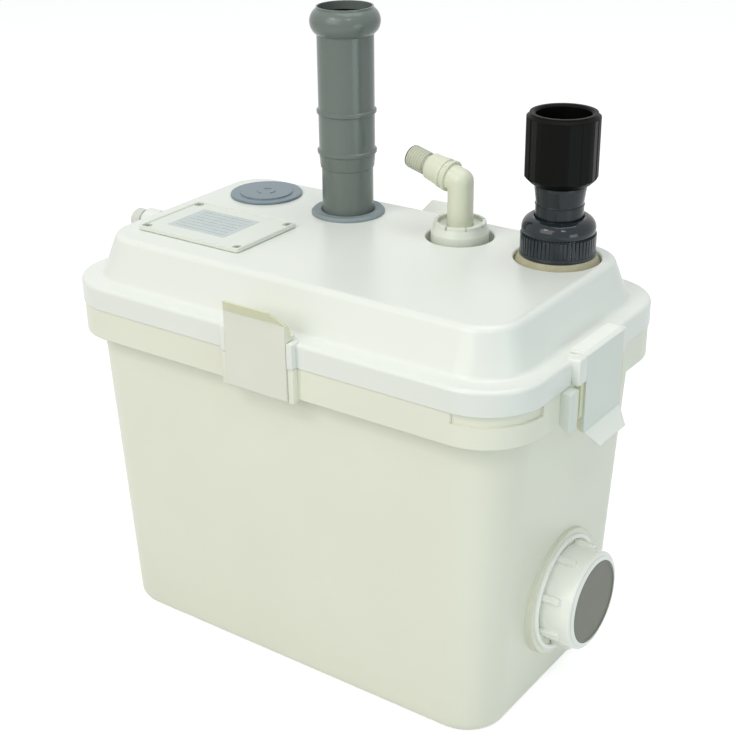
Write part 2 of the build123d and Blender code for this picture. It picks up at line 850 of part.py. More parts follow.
# Inlet: rubber grommet in its socket, and the push-fit pipe with two rings and a beaded socket
ledge = -pipe_depth - seat_gap
lip_r = grommet_bore_r + grommet_groove_depth
grommet_profile = [
    (grommet_bore_r, ledge),
    (grommet_body_r, ledge),
    (grommet_body_r, 0),
    (grommet_r, 0),
    (grommet_r, grommet_t / 2),
    (grommet_r - grommet_t / 2, grommet_t),
    (lip_r, grommet_t),
    (grommet_bore_r, grommet_t - grommet_groove_depth),
]
for groove in range(2):
    groove_top = -grommet_land - groove * (grommet_groove + grommet_land)
    groove_low = groove_top - grommet_groove
    grommet_profile += [
        (grommet_bore_r, groove_top),
        (lip_r, groove_top - grommet_groove_depth),
        (lip_r, groove_low + grommet_groove_depth),
        (grommet_bore_r, groove_low),
    ]
inlet_grommet = turned(inlet_x, port_y, lid_top, grommet_profile)
save(inlet_grommet, "inlet_grommet")

pipe_bead_high = pipe_bead_low + pipe_bead_height
pipe_top = pipe_bead_high + pipe_mouth
pipe_socket_floor = pipe_top - pipe_socket_depth
seal_room_r = pipe_bead_r - pipe_bead_wall
bead_mid = (pipe_bead_low + pipe_bead_high) / 2
seal_low = bead_mid - lip_seal_height / 2
seal_high = bead_mid + lip_seal_height / 2
pipe_profile = [
    (pipe_bore_r, -pipe_depth),
    (pipe_r - pipe_lead_in / 2, -pipe_depth),
    (pipe_r, -pipe_depth + pipe_lead_in),
    (pipe_r, pipe_taper_low),
    (pipe_r + pipe_taper_step, pipe_taper_low + pipe_taper_step),
    (pipe_body_r, pipe_taper_low + pipe_taper_length),
]
for ring_z in (pipe_low_ring, pipe_high_ring):
    pipe_profile += [
        (pipe_body_r, ring_z - 2 * pipe_ring_half),
        (pipe_ring_r, ring_z - pipe_ring_half),
        (pipe_ring_r, ring_z + pipe_ring_half),
        (pipe_body_r, ring_z + 2 * pipe_ring_half),
    ]
with BuildPart() as inlet_pipe:
    with BuildSketch(upright(inlet_x, port_y, lid_top)):
        with BuildLine():
            Polyline(*pipe_profile, (pipe_body_r, pipe_bead_low))
            Spline(
                (pipe_body_r, pipe_bead_low),
                (pipe_bead_r, bead_mid - pipe_bead_flat / 2),
                (pipe_bead_r, bead_mid + pipe_bead_flat / 2),
                (pipe_body_r, pipe_bead_high),
            )
            Polyline(
                (pipe_body_r, pipe_bead_high),
                (pipe_body_r, pipe_top),
                (pipe_socket_r, pipe_top),
                (pipe_socket_r, seal_high),
                (seal_room_r, seal_high),
                (seal_room_r, seal_low),
                (pipe_socket_r, seal_low),
                (pipe_socket_r, pipe_socket_floor),
                (pipe_bore_r, pipe_socket_floor - pipe_lead_in),
                (pipe_bore_r, -pipe_depth),
            )
        make_face()
    revolve(axis=Axis((inlet_x, port_y, 0), (0, 0, 1)))
save(inlet_pipe, "inlet_pipe")

pipe_lip_seal = turned(inlet_x, port_y, lid_top, [
    (pipe_socket_r + lip_clear, seal_low),
    (seal_room_r, seal_low),
    (seal_room_r, seal_high),
    (pipe_socket_r + lip_mouth, seal_high),
    (pipe_socket_r + lip_waist, bead_mid + lip_step),
    (pipe_socket_r + lip_clear, bead_mid - lip_step),
])
save(pipe_lip_seal, "pipe_lip_seal")

# Hose elbow: collar clamped by a castellated nut, domed corner, coned arm, ringed collar and ribbed tail
washer_low = spigot_rise
washer_high = washer_low + elbow_washer_t
elbow_foot = washer_high + seat_gap
elbow_shoulder = elbow_foot + elbow_collar_t
elbow_web = elbow_shoulder + elbow_nut_gap
elbow_bore_r = elbow_tube_r - elbow_wall
washer_r = spigot_r - elbow_washer_in
elbow_washer = tube((elbow_x, port_y), lid_top + washer_low, lid_top + washer_high, washer_r, spigot_bore_r)
save(elbow_washer, "elbow_washer")

arm_way = Vector(
    cos(radians(arm_rise)) * cos(radians(arm_heading)),
    cos(radians(arm_rise)) * sin(radians(arm_heading)),
    sin(radians(arm_rise)),
)
bend_point = Vector(elbow_x, port_y, lid_top + elbow_bend)
arm_plane = Plane(origin=bend_point, x_dir=arm_way, z_dir=arm_way.cross(Vector(0, 0, 1)))
arm_axis = Axis(bend_point, arm_way)
arm_cone_r = elbow_tube_r + arm_cone_flare
arm_spigot_r = arm_cone_r - arm_collar_wall
arm_ring_r = arm_cone_r + arm_ring_proud
arm_ring_end = arm_cone_length + arm_ring_length
collar_end = arm_cone_length + arm_collar_length
with BuildPart() as hose_elbow:
    with BuildSketch(at(elbow_x, port_y, lid_top + elbow_foot)):
        Circle(spigot_r - elbow_collar_in)
    extrude(amount=elbow_collar_t)
    with BuildSketch(at(elbow_x, port_y, lid_top + elbow_foot)):
        Circle(elbow_tube_r)
    extrude(amount=elbow_bend - elbow_foot)
    with Locations(bend_point):
        Sphere(elbow_tube_r)
    with BuildSketch(arm_plane):
        with BuildLine():
            Polyline(
                (0, 0),
                (0, elbow_tube_r),
                (elbow_tube_r, elbow_tube_r),
                (arm_cone_length, arm_cone_r),
                (arm_cone_length, arm_spigot_r),
                (collar_end, arm_spigot_r),
                (collar_end, 0),
                close=True,
            )
        make_face()
    revolve(axis=arm_axis)
    with BuildSketch(at(elbow_x, port_y, lid_top + elbow_foot)):
        Circle(elbow_bore_r)
    extrude(amount=elbow_bend - elbow_foot, mode=Mode.SUBTRACT)
    with Locations(bend_point):
        Sphere(elbow_bore_r, mode=Mode.SUBTRACT)
    with BuildSketch(Plane(origin=bend_point, z_dir=arm_way)):
        Circle(elbow_bore_r)
    extrude(amount=collar_end, mode=Mode.SUBTRACT)
save(hose_elbow, "hose_elbow")

with BuildPart() as arm_collar:
    with BuildSketch(arm_plane):
        with BuildLine():
            Polyline(
                (arm_cone_length, arm_spigot_r),
                (arm_cone_length, arm_ring_r - arm_ring_break),
                (arm_cone_length + arm_ring_break, arm_ring_r),
                (arm_ring_end, arm_ring_r),
                (arm_ring_end + arm_ring_break, arm_ring_r - arm_ring_break),
                (collar_end - edge_break, arm_cone_r - arm_ring_break),
                (collar_end, arm_cone_r - arm_ring_break - edge_break),
                (collar_end, arm_spigot_r),
                close=True,
            )
        make_face()
    revolve(axis=arm_axis)
save(arm_collar, "arm_collar")

tail_root_r = tail_r - tail_barb
first_barb = collar_end + tail_root
last_barb = first_barb + 2 * tail_barb_pitch
tail_end = last_barb + tail_plain
with BuildPart() as hose_tail:
    with BuildSketch(arm_plane):
        with BuildLine():
            Polyline(
                (collar_end, tail_root_r - tail_wall),
                (collar_end, tail_root_r),
                (first_barb, tail_root_r),
                (first_barb, tail_r),
                (first_barb + tail_barb_pitch, tail_root_r),
                (first_barb + tail_barb_pitch, tail_r),
                (last_barb, tail_root_r),
                (tail_end - tail_barb, tail_root_r),
                (tail_end, tail_root_r - tail_barb),
                (tail_end, tail_root_r - tail_wall),
                close=True,
            )
        make_face()
    revolve(axis=arm_axis)
save(hose_tail, "hose_tail")

nut_floor = elbow_web + elbow_web_t
rim_top = nut_floor + elbow_rim_h
rim_r = elbow_nut_r - elbow_nut_lean
elbow_union_nut = turned(elbow_x, port_y, lid_top, [
    (spigot_r + elbow_nut_gap, elbow_nut_foot - elbow_cup_depth),
    (elbow_nut_r, elbow_nut_foot - elbow_cup_depth),
    (elbow_nut_r, elbow_nut_shoulder),
    (rim_r, rim_top - elbow_rim_h + elbow_rim_break),
    (rim_r, rim_top - elbow_rim_break),
    (rim_r - elbow_rim_break, rim_top),
    (rim_r - elbow_rim_wall, rim_top),
    (rim_r - elbow_rim_wall, nut_floor),
    (elbow_tube_r + elbow_nut_gap, nut_floor),
    (elbow_tube_r + elbow_nut_gap, elbow_web),
    (spigot_r + elbow_nut_gap, elbow_web),
])
with BuildPart() as rim_notches:
    with BuildSketch(at(elbow_x, port_y, lid_top + nut_floor)):
        with PolarLocations(rim_r, elbow_notches):
            Rectangle(3 * elbow_rim_wall, elbow_notch)
    extrude(amount=elbow_rim_h)
with elbow_union_nut:
    add(rim_notches.part, mode=Mode.SUBTRACT)
save(elbow_union_nut, "elbow_union_nut")

# Check valve under the lid: socket, seat, flap room, fixing flange and threaded neck
seat_floor = lid_top - valve_drop
seat_top = seat_floor + seat_ring_t
stop_low = seat_floor - valve_stop_t
valve_foot = seat_floor - valve_socket_depth - valve_stop_t
socket_r = riser_r + valve_socket_wall
cup_base = cup_bottom - cup_floor
room_r = valve_room_r + valve_room_wall
room_top = seat_top + valve_room_h
flange_low = cup_base - valve_flange_t
neck_top = lid_top + valve_neck_top
flap_r = seat_bore_r + flap_lap
flap_bottom = seat_top + seat_gap
pin_y = port_y + flap_r + flap_pin_out
pin_z = flap_bottom + flap_knuckle_r + flap_knuckle_rise
ring_outer = valve_neck_r - union_ring_in
ring_inner = ring_outer - union_ring_w
with BuildPart() as check_valve_body:
    with BuildSketch(upright(discharge_x, port_y)):
        with BuildLine():
            Polyline(
                (riser_r, valve_foot),
                (socket_r, valve_foot),
                (socket_r, stop_low - valve_socket_cone),
                (room_r, seat_floor + valve_stop_t),
                (room_r, room_top),
                (valve_neck_r + valve_stop_t, flange_low),
                (valve_flange_r, flange_low),
                (valve_flange_r, cup_base),
                (valve_neck_r, cup_base),
                (valve_neck_r, neck_top),
                (valve_bore_r, neck_top),
                (valve_bore_r, room_top),
                (valve_room_r, room_top),
                (valve_room_r, seat_floor),
                (seat_bore_r, seat_floor),
                (seat_bore_r, stop_low),
                (riser_r, stop_low),
                close=True,
            )
        make_face()
    revolve(axis=Axis((discharge_x, port_y, 0), (0, 0, 1)))
    with BuildSketch(facing_x(discharge_x, pin_y, pin_z)):
        Circle(flap_pin_r)
    extrude(amount=flap_pin_half, both=True, mode=Mode.SUBTRACT)
    with BuildSketch(at(discharge_x, port_y, neck_top)):
        Circle(ring_outer)
        Circle(ring_inner, mode=Mode.SUBTRACT)
    extrude(amount=-union_ring_t, mode=Mode.SUBTRACT)
save(check_valve_body, "check_valve_body")

valve_seat_ring = tube((discharge_x, port_y), seat_floor, seat_top, riser_r, seat_bore_r)
save(valve_seat_ring, "valve_seat_ring")

union_o_ring = tube((discharge_x, port_y), neck_top - union_ring_t, neck_top, ring_outer, ring_inner)
save(union_o_ring, "union_o_ring")

with BuildPart() as flap_pin:
    with BuildSketch(facing_x(discharge_x, pin_y, pin_z)):
        Circle(flap_pin_r)
    extrude(amount=flap_pin_half, both=True)
save(flap_pin, "flap_pin")

with BuildPart() as valve_flap:
    with BuildSketch(at(discharge_x, port_y, flap_bottom)):
        Circle(flap_r)
    extrude(amount=flap_t)
    with BuildSketch(at(discharge_x, (port_y + pin_y) / 2, flap_bottom + flap_arm_rise)):
        Rectangle(flap_arm_w, pin_y - port_y)
    extrude(amount=flap_t)
    with BuildSketch(facing_x(discharge_x, pin_y, pin_z)):
        Circle(flap_knuckle_r)
    extrude(amount=flap_knuckle_half, both=True)
    with BuildSketch(facing_x(discharge_x, pin_y, pin_z)):
        Circle(flap_pin_r + running_gap)
    extrude(amount=flap_knuckle_half, both=True, mode=Mode.SUBTRACT)
save(valve_flap, "valve_flap")

duct_z = tank_floor + strainer_h + volute_floor + duct_rise
riser_foot = duct_z + duct_socket_rise
riser_pipe = tube((discharge_x, port_y), riser_foot, stop_low, riser_r, riser_bore_r)
save(riser_pipe, "riser_pipe")

# Discharge tail piece: collar on the valve neck, waisted pipe with a ring line, flare and head
coupling_top = coupling_foot + coupling_height
web_top = coupling_foot + coupling_web
head_low = web_top + union_gap
head_high = head_low + head_collar_t
head_r = coupling_thread_r - head_collar_in
shank_r = neck_r + head_shank_out
flare_r = neck_r + neck_flare
neck_bore_r = neck_r - neck_wall
collar_top = valve_neck_top + tail_collar_h
discharge_tail = turned(discharge_x, port_y, lid_top, [
    (neck_bore_r, valve_neck_top),
    (valve_neck_r - tail_collar_in, valve_neck_top),
    (valve_neck_r - tail_collar_in, collar_top),
    (neck_r, collar_top),
    (neck_r, neck_ring_z - neck_ring_proud),
    (neck_r + neck_ring_proud, neck_ring_z),
    (neck_r - neck_waist_in, neck_ring_z + 2 * neck_ring_proud),
    (flare_r, coupling_foot - neck_flare_height),
    (flare_r, coupling_foot - neck_foot_gap),
    (shank_r, coupling_foot - neck_foot_gap / 2),
    (shank_r, head_low),
    (head_r, head_low),
    (head_r, head_high),
    (neck_bore_r, head_high),
])
save(discharge_tail, "discharge_tail")

coupling_gasket = tube(
    (discharge_x, port_y), lid_top + head_high, lid_top + head_high + face_gasket_t, head_r, neck_bore_r,
)
save(coupling_gasket, "coupling_gasket")

cup_ring_bore_r = valve_neck_r + cup_ring_gap
cup_ring_top = cup_depth + union_foot_rise - cup_ring_drop
discharge_seal_ring = turned(discharge_x, port_y, cup_bottom, [
    (cup_ring_bore_r, 0),
    (cup_r, 0),
    (cup_r, cup_ring_skirt),
    (union_rim_r, cup_ring_top),
    (cup_ring_bore_r, cup_ring_top),
])
save(discharge_seal_ring, "discharge_seal_ring")

nut_web = collar_top + union_gap
rim_top = union_foot_rise + union_rim_h
thread_r = valve_neck_r + union_gap
shoulder_r = union_nut_r - union_shoulder_in
throat_r = shank_r + union_gap
collar_r = throat_r + union_collar_wall
with BuildPart() as discharge_union_nut:
    with BuildSketch(upright(discharge_x, port_y, lid_top)):
        with BuildLine():
            Polyline(
                (thread_r, union_foot_rise),
                (union_rim_r, union_foot_rise),
                (union_rim_r, rim_top),
                (union_nut_r, rim_top + union_rim_proud),
                (union_nut_r, union_skirt_top),
                (shoulder_r, union_shoulder_z),
            )
            SagittaArc((shoulder_r, union_shoulder_z), (collar_r, union_nut_top), -union_dome)
            Polyline(
                (collar_r, union_nut_top),
                (throat_r, union_nut_top),
                (throat_r, nut_web),
                (thread_r, nut_web),
                (thread_r, union_foot_rise),
            )
        make_face()
    revolve(axis=Axis((discharge_x, port_y, 0), (0, 0, 1)))
    with BuildSketch(at(discharge_x, port_y, lid_top + union_rib_low)):
        with PolarLocations(union_nut_r, union_ribs):
            Rectangle(2 * union_rib_depth, union_rib_gap)
    extrude(amount=union_rib_height, mode=Mode.SUBTRACT)
save(discharge_union_nut, "discharge_union_nut")

relief_r = coupling_thread_r + coupling_relief
relief_top = web_top + coupling_relief_h
flat_angle = coupling_turn + 180 / coupling_flats
with BuildPart() as coupling_nut:
    with BuildSketch(upright(discharge_x, port_y, lid_top)):
        with BuildLine():
            Polyline(
                (shank_r + union_gap, coupling_foot),
                (coupling_r - coupling_chamfer, coupling_foot),
                (coupling_r, coupling_foot + coupling_chamfer),
                (coupling_r, coupling_top - coupling_rim_h),
                (coupling_r - coupling_rim_in, coupling_top - coupling_rim_land),
                (coupling_r - coupling_rim_in, coupling_top),
                (coupling_thread_r + coupling_lead, coupling_top),
                (coupling_thread_r, coupling_top - coupling_lead),
                (coupling_thread_r, relief_top),
                (relief_r, relief_top),
                (relief_r, web_top),
                (shank_r + union_gap, web_top),
                close=True,
            )
        make_face()
    revolve(axis=Axis((discharge_x, port_y, 0), (0, 0, 1)))
    with BuildSketch(at(discharge_x, port_y, lid_top + coupling_foot)):
        Circle(coupling_r + coupling_flat_in)
        RegularPolygon(
            coupling_r - coupling_flat_in, coupling_flats, False, rotation=flat_angle, mode=Mode.SUBTRACT,
        )
        with PolarLocations(coupling_r, coupling_flats, start_angle=coupling_turn):
            Rectangle(2 * coupling_groove_depth, coupling_groove)
    extrude(amount=coupling_height - coupling_rim_h, mode=Mode.SUBTRACT)
save(coupling_nut, "coupling_nut")

# Side inlet on the right wall: flanged spigot from inside, seal, lugged nut and blanking cap
spigot_flange_x = side_inner_pad_x - side_seal_t
side_inlet_seal = side_ring(spigot_flange_x, side_inner_pad_x, side_flange_r, side_spigot_r)
save(side_inlet_seal, "side_inlet_seal")

side_spigot_end = side_pad_x + side_spigot_proud
side_cap_seat = side_spigot_end - side_cap_seat_depth
with BuildPart() as side_spigot:
    with BuildSketch(facing_x(spigot_flange_x - side_flange_t, 0, side_z)):
        Circle(side_flange_r)
    extrude(amount=side_flange_t)
    with BuildSketch(facing_x(spigot_flange_x, 0, side_z)):
        Circle(side_spigot_r)
    extrude(amount=side_spigot_end - spigot_flange_x)
    with BuildSketch(facing_x(spigot_flange_x - side_flange_t, 0, side_z)):
        Circle(side_spigot_bore_r)
    extrude(amount=side_spigot_end, mode=Mode.SUBTRACT)
    with BuildSketch(facing_x(side_cap_seat, 0, side_z)):
        Circle(side_cap_r + seat_gap)
    extrude(amount=side_cap_t, mode=Mode.SUBTRACT)
save(side_spigot, "side_spigot")

nut_back = side_pad_x + seat_gap
side_nut_front = side_pad_x + side_nut_proud
with BuildPart() as side_inlet_nut:
    with BuildSketch(facing_x(nut_back, 0, side_z)):
        Circle(side_nut_r)
    extrude(amount=side_nut_front - nut_back)
    fillet(side_inlet_nut.edges().sort_by(Axis.X)[-1], side_nut_round)
    with BuildSketch(facing_x(nut_back, 0, side_z)):
        lug_circle = side_nut_r + (lug_height - root_depth) / 2
        with PolarLocations(lug_circle, side_nut_lugs, start_angle=180 / side_nut_lugs):
            Rectangle(lug_height + root_depth, lug_width)
    extrude(amount=lug_length)
    with BuildSketch(facing_x(nut_back, 0, side_z)):
        Circle(side_spigot_r + side_thread_gap)
    extrude(amount=side_nut_front, mode=Mode.SUBTRACT)
save(side_inlet_nut, "side_inlet_nut")

cap_back = side_cap_seat + seat_gap
side_cap_plug_r = side_spigot_bore_r - seat_gap
with BuildPart() as side_blanking_cap:
    with BuildSketch(facing_x(cap_back, 0, side_z)):
        Circle(side_cap_r)
    extrude(amount=side_cap_t)
    fillet(side_blanking_cap.edges().sort_by(Axis.X)[-1], edge_break)
    with BuildSketch(facing_x(cap_back, 0, side_z)):
        Circle(side_cap_plug_r)
        Circle(side_cap_plug_r - side_cap_shell, mode=Mode.SUBTRACT)
    extrude(amount=-side_cap_plug_depth)
save(side_blanking_cap, "side_blanking_cap")

# Switch cover with its gasket, screws and blank label, over the chamber in the lid
cover_low = lid_top + cover_gasket_t
cover_face = cover_low + cover_t
label_x = cover_x + label_shift_x
label_y = cover_y + label_shift_y
with BuildPart() as switch_cover:
    with BuildSketch(at(cover_x, cover_y, cover_low)):
        RectangleRounded(cover_length, cover_width, cover_corner)
    extrude(amount=cover_t + cover_bead_h)
    with BuildSketch(at(cover_x, cover_y, cover_face)):
        RectangleRounded(cover_length - 2 * cover_bead, cover_width - 2 * cover_bead, cover_corner / 2)
    extrude(amount=cover_bead_h, mode=Mode.SUBTRACT)
    with BuildSketch(at(label_x, label_y, cover_face)):
        Rectangle(label_length, label_width)
    extrude(amount=-label_t, mode=Mode.SUBTRACT)
    with BuildSketch(at(cover_x, cover_y, cover_face)):
        with GridLocations(cover_screw_dx, cover_screw_dy, 2, 2):
            Circle(screw_head_r + screw_clear)
    extrude(amount=-screw_head_t, mode=Mode.SUBTRACT)
    with BuildSketch(at(cover_x, cover_y, cover_face)):
        with GridLocations(cover_screw_dx, cover_screw_dy, 2, 2):
            Circle(screw_r + screw_clear)
    extrude(amount=-cover_t, mode=Mode.SUBTRACT)
save(switch_cover, "switch_cover")

with BuildPart() as cover_gasket:
    with BuildSketch(at(cover_x, cover_y, lid_top)):
        gasket_length = cover_length - 2 * cover_gasket_in
        RectangleRounded(gasket_length, cover_width - 2 * cover_gasket_in, cover_corner)
        RectangleRounded(chamber_length, chamber_width, chamber_corner, mode=Mode.SUBTRACT)
        with GridLocations(cover_screw_dx, cover_screw_dy, 2, 2):
            Circle(screw_r + screw_clear, mode=Mode.SUBTRACT)
    extrude(amount=cover_gasket_t)
save(cover_gasket, "cover_gasket")

head_seat = cover_face - screw_head_t
with BuildPart() as cover_screws:
    with BuildSketch(at(cover_x, cover_y, head_seat)):
        with GridLocations(cover_screw_dx, cover_screw_dy, 2, 2):
            Circle(screw_head_r)
    extrude(amount=screw_head_t)
    with BuildSketch(at(cover_x, cover_y, head_seat)):
        with GridLocations(cover_screw_dx, cover_screw_dy, 2, 2):
            Circle(screw_r)
    extrude(amount=lid_top - screw_depth - head_seat)
    with BuildSketch(at(cover_x, cover_y, cover_face)):
        with GridLocations(cover_screw_dx, cover_screw_dy, 2, 2):
            Rectangle(screw_slot, screw_slot_w)
            Rectangle(screw_slot_w, screw_slot)
    extrude(amount=-screw_slot_depth, mode=Mode.SUBTRACT)
save(cover_screws, "cover_screws")

with BuildPart() as blank_label:
    with BuildSketch(at(label_x, label_y, cover_face - label_t)):
        Rectangle(label_length, label_width)
    extrude(amount=label_t)
save(blank_label, "blank_label")

# Cable gland on the left skirt: body, dome nut and sealing ring, with no cable in it
with BuildPart() as cable_gland:
    with BuildSketch(facing_x(-gland_face, gland_y, gland_z)):
        Circle(gland_r)
    extrude(amount=gland_shank)
    with BuildSketch(facing_x(-gland_face - gland_hex_t, gland_y, gland_z)):
        RegularPolygon(gland_hex_r, 6)
    extrude(amount=gland_hex_t)
    with BuildSketch(facing_x(-gland_face - gland_hex_t - gland_thread_length, gland_y, gland_z)):
        Circle(gland_thread_r)
    extrude(amount=gland_thread_length)
    with BuildSketch(facing_x(-gland_face + gland_shank, gland_y, gland_z)):
        Circle(gland_bore_r)
    extrude(amount=-gland_face, mode=Mode.SUBTRACT)
save(cable_gland, "cable_gland")

gland_end = -gland_face - gland_hex_t - gland_thread_length
with BuildPart() as gland_seal:
    with BuildSketch(facing_x(gland_end - gland_seal_t, gland_y, gland_z)):
        Circle(gland_thread_r)
        Circle(gland_bore_r - gland_seal_lip, mode=Mode.SUBTRACT)
    extrude(amount=gland_seal_t)
save(gland_seal, "gland_seal")

nut_start = -gland_face - gland_hex_t
with BuildPart() as gland_nut:
    with BuildSketch(facing_x(nut_start - gland_nut_length, gland_y, gland_z)):
        Circle(gland_nut_r)
    extrude(amount=gland_nut_length)
    fillet(gland_nut.edges().sort_by(Axis.X)[0], gland_nut_round)
    with BuildSketch(facing_x(nut_start, gland_y, gland_z)):
        Circle(gland_thread_r)
    extrude(amount=gland_end - gland_seal_t - nut_start, mode=Mode.SUBTRACT)
    with BuildSketch(facing_x(nut_start, gland_y, gland_z)):
        Circle(gland_bore_r)
    extrude(amount=-gland_nut_length, mode=Mode.SUBTRACT)
save(gland_nut, "gland_nut")

# Float switch: stem through the chamber floor, two stops, a sliding float with its magnet, and the board
stem_seat = chamber_floor + chamber_wall
stem_head_top = stem_seat + stem_head_t
stem_bore_r = stem_r - stem_wall
stem_head_r = stem_r + stem_head_w
float_stem = turned(cover_x, cover_y, 0, [
    (0, stem_foot),
    (stem_r, stem_foot),
    (stem_r, stem_seat),
    (stem_head_r, stem_seat),
    (stem_head_r, stem_head_top),
    (stem_bore_r, stem_head_top),
    (stem_bore_r, stem_foot + stem_wall),
    (0, stem_foot + stem_wall),
])
save(float_stem, "float_stem")

low_stop_z = stem_foot + low_stop_rise
with BuildPart() as float_stops:
    for stop_z in (low_stop_z, chamber_floor - high_stop_drop):
        with BuildSketch(at(cover_x, cover_y, stop_z)):
            Circle(stem_r + stop_w)
            Circle(stem_r, mode=Mode.SUBTRACT)
        extrude(amount=stop_t)
save(float_stops, "float_stops")

float_low = low_stop_z + stop_t + seat_gap
magnet_low = float_low + (float_height - magnet_t) / 2
magnet_bore_r = stem_r + float_gap + magnet_in
magnet_ring = tube(
    (cover_x, cover_y), magnet_low, magnet_low + magnet_t, magnet_bore_r + magnet_w, magnet_bore_r,
)
save(magnet_ring, "magnet_ring")

with BuildPart() as float_body:
    with BuildSketch(at(cover_x, cover_y, float_low)):
        Circle(float_r)
    extrude(amount=float_height)
    fillet(float_body.edges().filter_by(GeomType.CIRCLE), float_fillet)
    with BuildSketch(at(cover_x, cover_y, float_low)):
        Circle(stem_r + float_gap)
    extrude(amount=float_height, mode=Mode.SUBTRACT)
    add(magnet_ring.part, mode=Mode.SUBTRACT)
save(float_body, "float_body")

board_length = chamber_length - 2 * board_margin
board_width = chamber_width - 2 * board_margin
board_z = stem_seat + board_lift
board_face = board_z + board_t
with BuildPart() as control_board:
    with BuildSketch(at(cover_x, cover_y, board_z)):
        Rectangle(board_length, board_width)
    extrude(amount=board_t)
    with BuildSketch(at(cover_x, cover_y, stem_seat)):
        with GridLocations(board_length - 2 * board_post_in, board_width - 2 * board_post_in, 2, 2):
            Circle(board_post_r)
    extrude(amount=board_lift)
save(control_board, "control_board")

with BuildPart() as relay:
    with BuildSketch(at(cover_x - board_length / 4, cover_y, board_face)):
        Rectangle(relay_length, relay_width)
    extrude(amount=relay_height)
save(relay, "relay")

with BuildPart() as capacitor:
    with BuildSketch(at(cover_x + board_length / 4, cover_y, board_face)):
        Circle(capacitor_r)
    extrude(amount=capacitor_height)
    fillet(capacitor.faces().sort_by(Axis.Z)[-1].edges(), edge_break)
save(capacitor, "capacitor")

# Pump: slotted strainer foot, volute with a tangential outlet and riser socket
volute_low = tank_floor + strainer_h
with BuildPart() as suction_strainer:
    with BuildSketch(at(pump_x, pump_y, tank_floor)):
        Circle(strainer_r)
    extrude(amount=strainer_h)
    with BuildSketch(at(pump_x, pump_y, tank_floor)):
        Circle(strainer_r - strainer_wall)
    extrude(amount=strainer_h - strainer_wall, mode=Mode.SUBTRACT)
    with BuildSketch(at(pump_x, pump_y, tank_floor)):
        Circle(suction_r)
    extrude(amount=strainer_h, mode=Mode.SUBTRACT)
    with BuildSketch(at(pump_x, pump_y, tank_floor + (strainer_h - strainer_slot_h) / 2)):
        with PolarLocations(strainer_r, strainer_slots):
            Rectangle(4 * strainer_wall, strainer_slot_w)
    extrude(amount=strainer_slot_h, mode=Mode.SUBTRACT)
save(suction_strainer, "suction_strainer")

chamber_low = volute_low + volute_floor
volute_top = chamber_low + chamber_height
chamber_r = volute_r - volute_wall
duct_bore_r = duct_r - duct_wall
duct_socket_top = riser_foot + duct_socket_depth
duct_socket_low = riser_foot - duct_socket_foot
pump_screw_circle = volute_r - pump_screw_in
with BuildPart() as volute_casing:
    with BuildSketch(at(pump_x, pump_y, volute_low)):
        Circle(volute_r)
    extrude(amount=volute_top - volute_low)
    fillet(volute_casing.faces().sort_by(Axis.Z)[0].edges(), volute_foot_round)
    with BuildSketch(facing_x(pump_x - duct_r, port_y, duct_z)):
        Circle(duct_r)
    extrude(amount=discharge_x - pump_x + duct_r)
    with BuildSketch(at(discharge_x, port_y, duct_z)):
        Circle(duct_r)
    extrude(amount=duct_socket_top - duct_z)
    with Locations((discharge_x, port_y, duct_z)):
        Sphere(duct_r)
    with BuildSketch(at(discharge_x, port_y, duct_socket_low)):
        Circle(riser_r + duct_socket_wall)
    extrude(amount=duct_socket_top - duct_socket_low)
    with BuildSketch(at(pump_x, pump_y, chamber_low)):
        Circle(chamber_r)
    extrude(amount=volute_top - chamber_low, mode=Mode.SUBTRACT)
    with BuildSketch(at(pump_x, pump_y, volute_low)):
        Circle(suction_r)
    extrude(amount=chamber_low - volute_low, mode=Mode.SUBTRACT)
    with BuildSketch(facing_x(pump_x, port_y, duct_z)):
        Circle(duct_bore_r)
    extrude(amount=discharge_x - pump_x, mode=Mode.SUBTRACT)
    with Locations((discharge_x, port_y, duct_z)):
        Sphere(duct_bore_r, mode=Mode.SUBTRACT)
    with BuildSketch(at(discharge_x, port_y, duct_z)):
        Circle(duct_bore_r)
    extrude(amount=riser_foot - duct_z, mode=Mode.SUBTRACT)
    with BuildSketch(at(discharge_x, port_y, riser_foot)):
        Circle(riser_r)
    extrude(amount=duct_socket_top - riser_foot, mode=Mode.SUBTRACT)
    with BuildSketch(at(pump_x, pump_y, volute_top)):
        with PolarLocations(pump_screw_circle, pump_screws_count, start_angle=45):
            Circle(pump_screw_r)
    extrude(amount=-pump_screw_depth, mode=Mode.SUBTRACT)
save(volute_casing, "volute_casing")

cover_plate_top = volute_top + pump_cover_t
boss_r = bearing_r + bearing_wall
lower_bearing_low = cover_plate_top + bearing_floor
shaft_hole_r = shaft_r + shaft_hole_gap
shaft_seal_r = shaft_hole_r + shaft_seal_w
with BuildPart() as pump_cover:
    with BuildSketch(at(pump_x, pump_y, volute_top)):
        Circle(volute_r)
    extrude(amount=pump_cover_t)
    with BuildSketch(at(pump_x, pump_y, cover_plate_top)):
        Circle(boss_r)
    extrude(amount=bearing_floor + bearing_h)
    with BuildSketch(at(pump_x, pump_y, lower_bearing_low)):
        Circle(bearing_r)
    extrude(amount=bearing_h, mode=Mode.SUBTRACT)
    with BuildSketch(at(pump_x, pump_y, volute_top)):
        Circle(shaft_hole_r)
    extrude(amount=pump_cover_t + bearing_floor, mode=Mode.SUBTRACT)
    with BuildSketch(at(pump_x, pump_y, volute_top)):
        Circle(shaft_seal_r)
    extrude(amount=shaft_seal_t, mode=Mode.SUBTRACT)
    with BuildSketch(at(pump_x, pump_y, volute_top)):
        with PolarLocations(pump_screw_circle, pump_screws_count, start_angle=45):
            Circle(pump_screw_r)
    extrude(amount=pump_cover_t, mode=Mode.SUBTRACT)
save(pump_cover, "pump_cover")

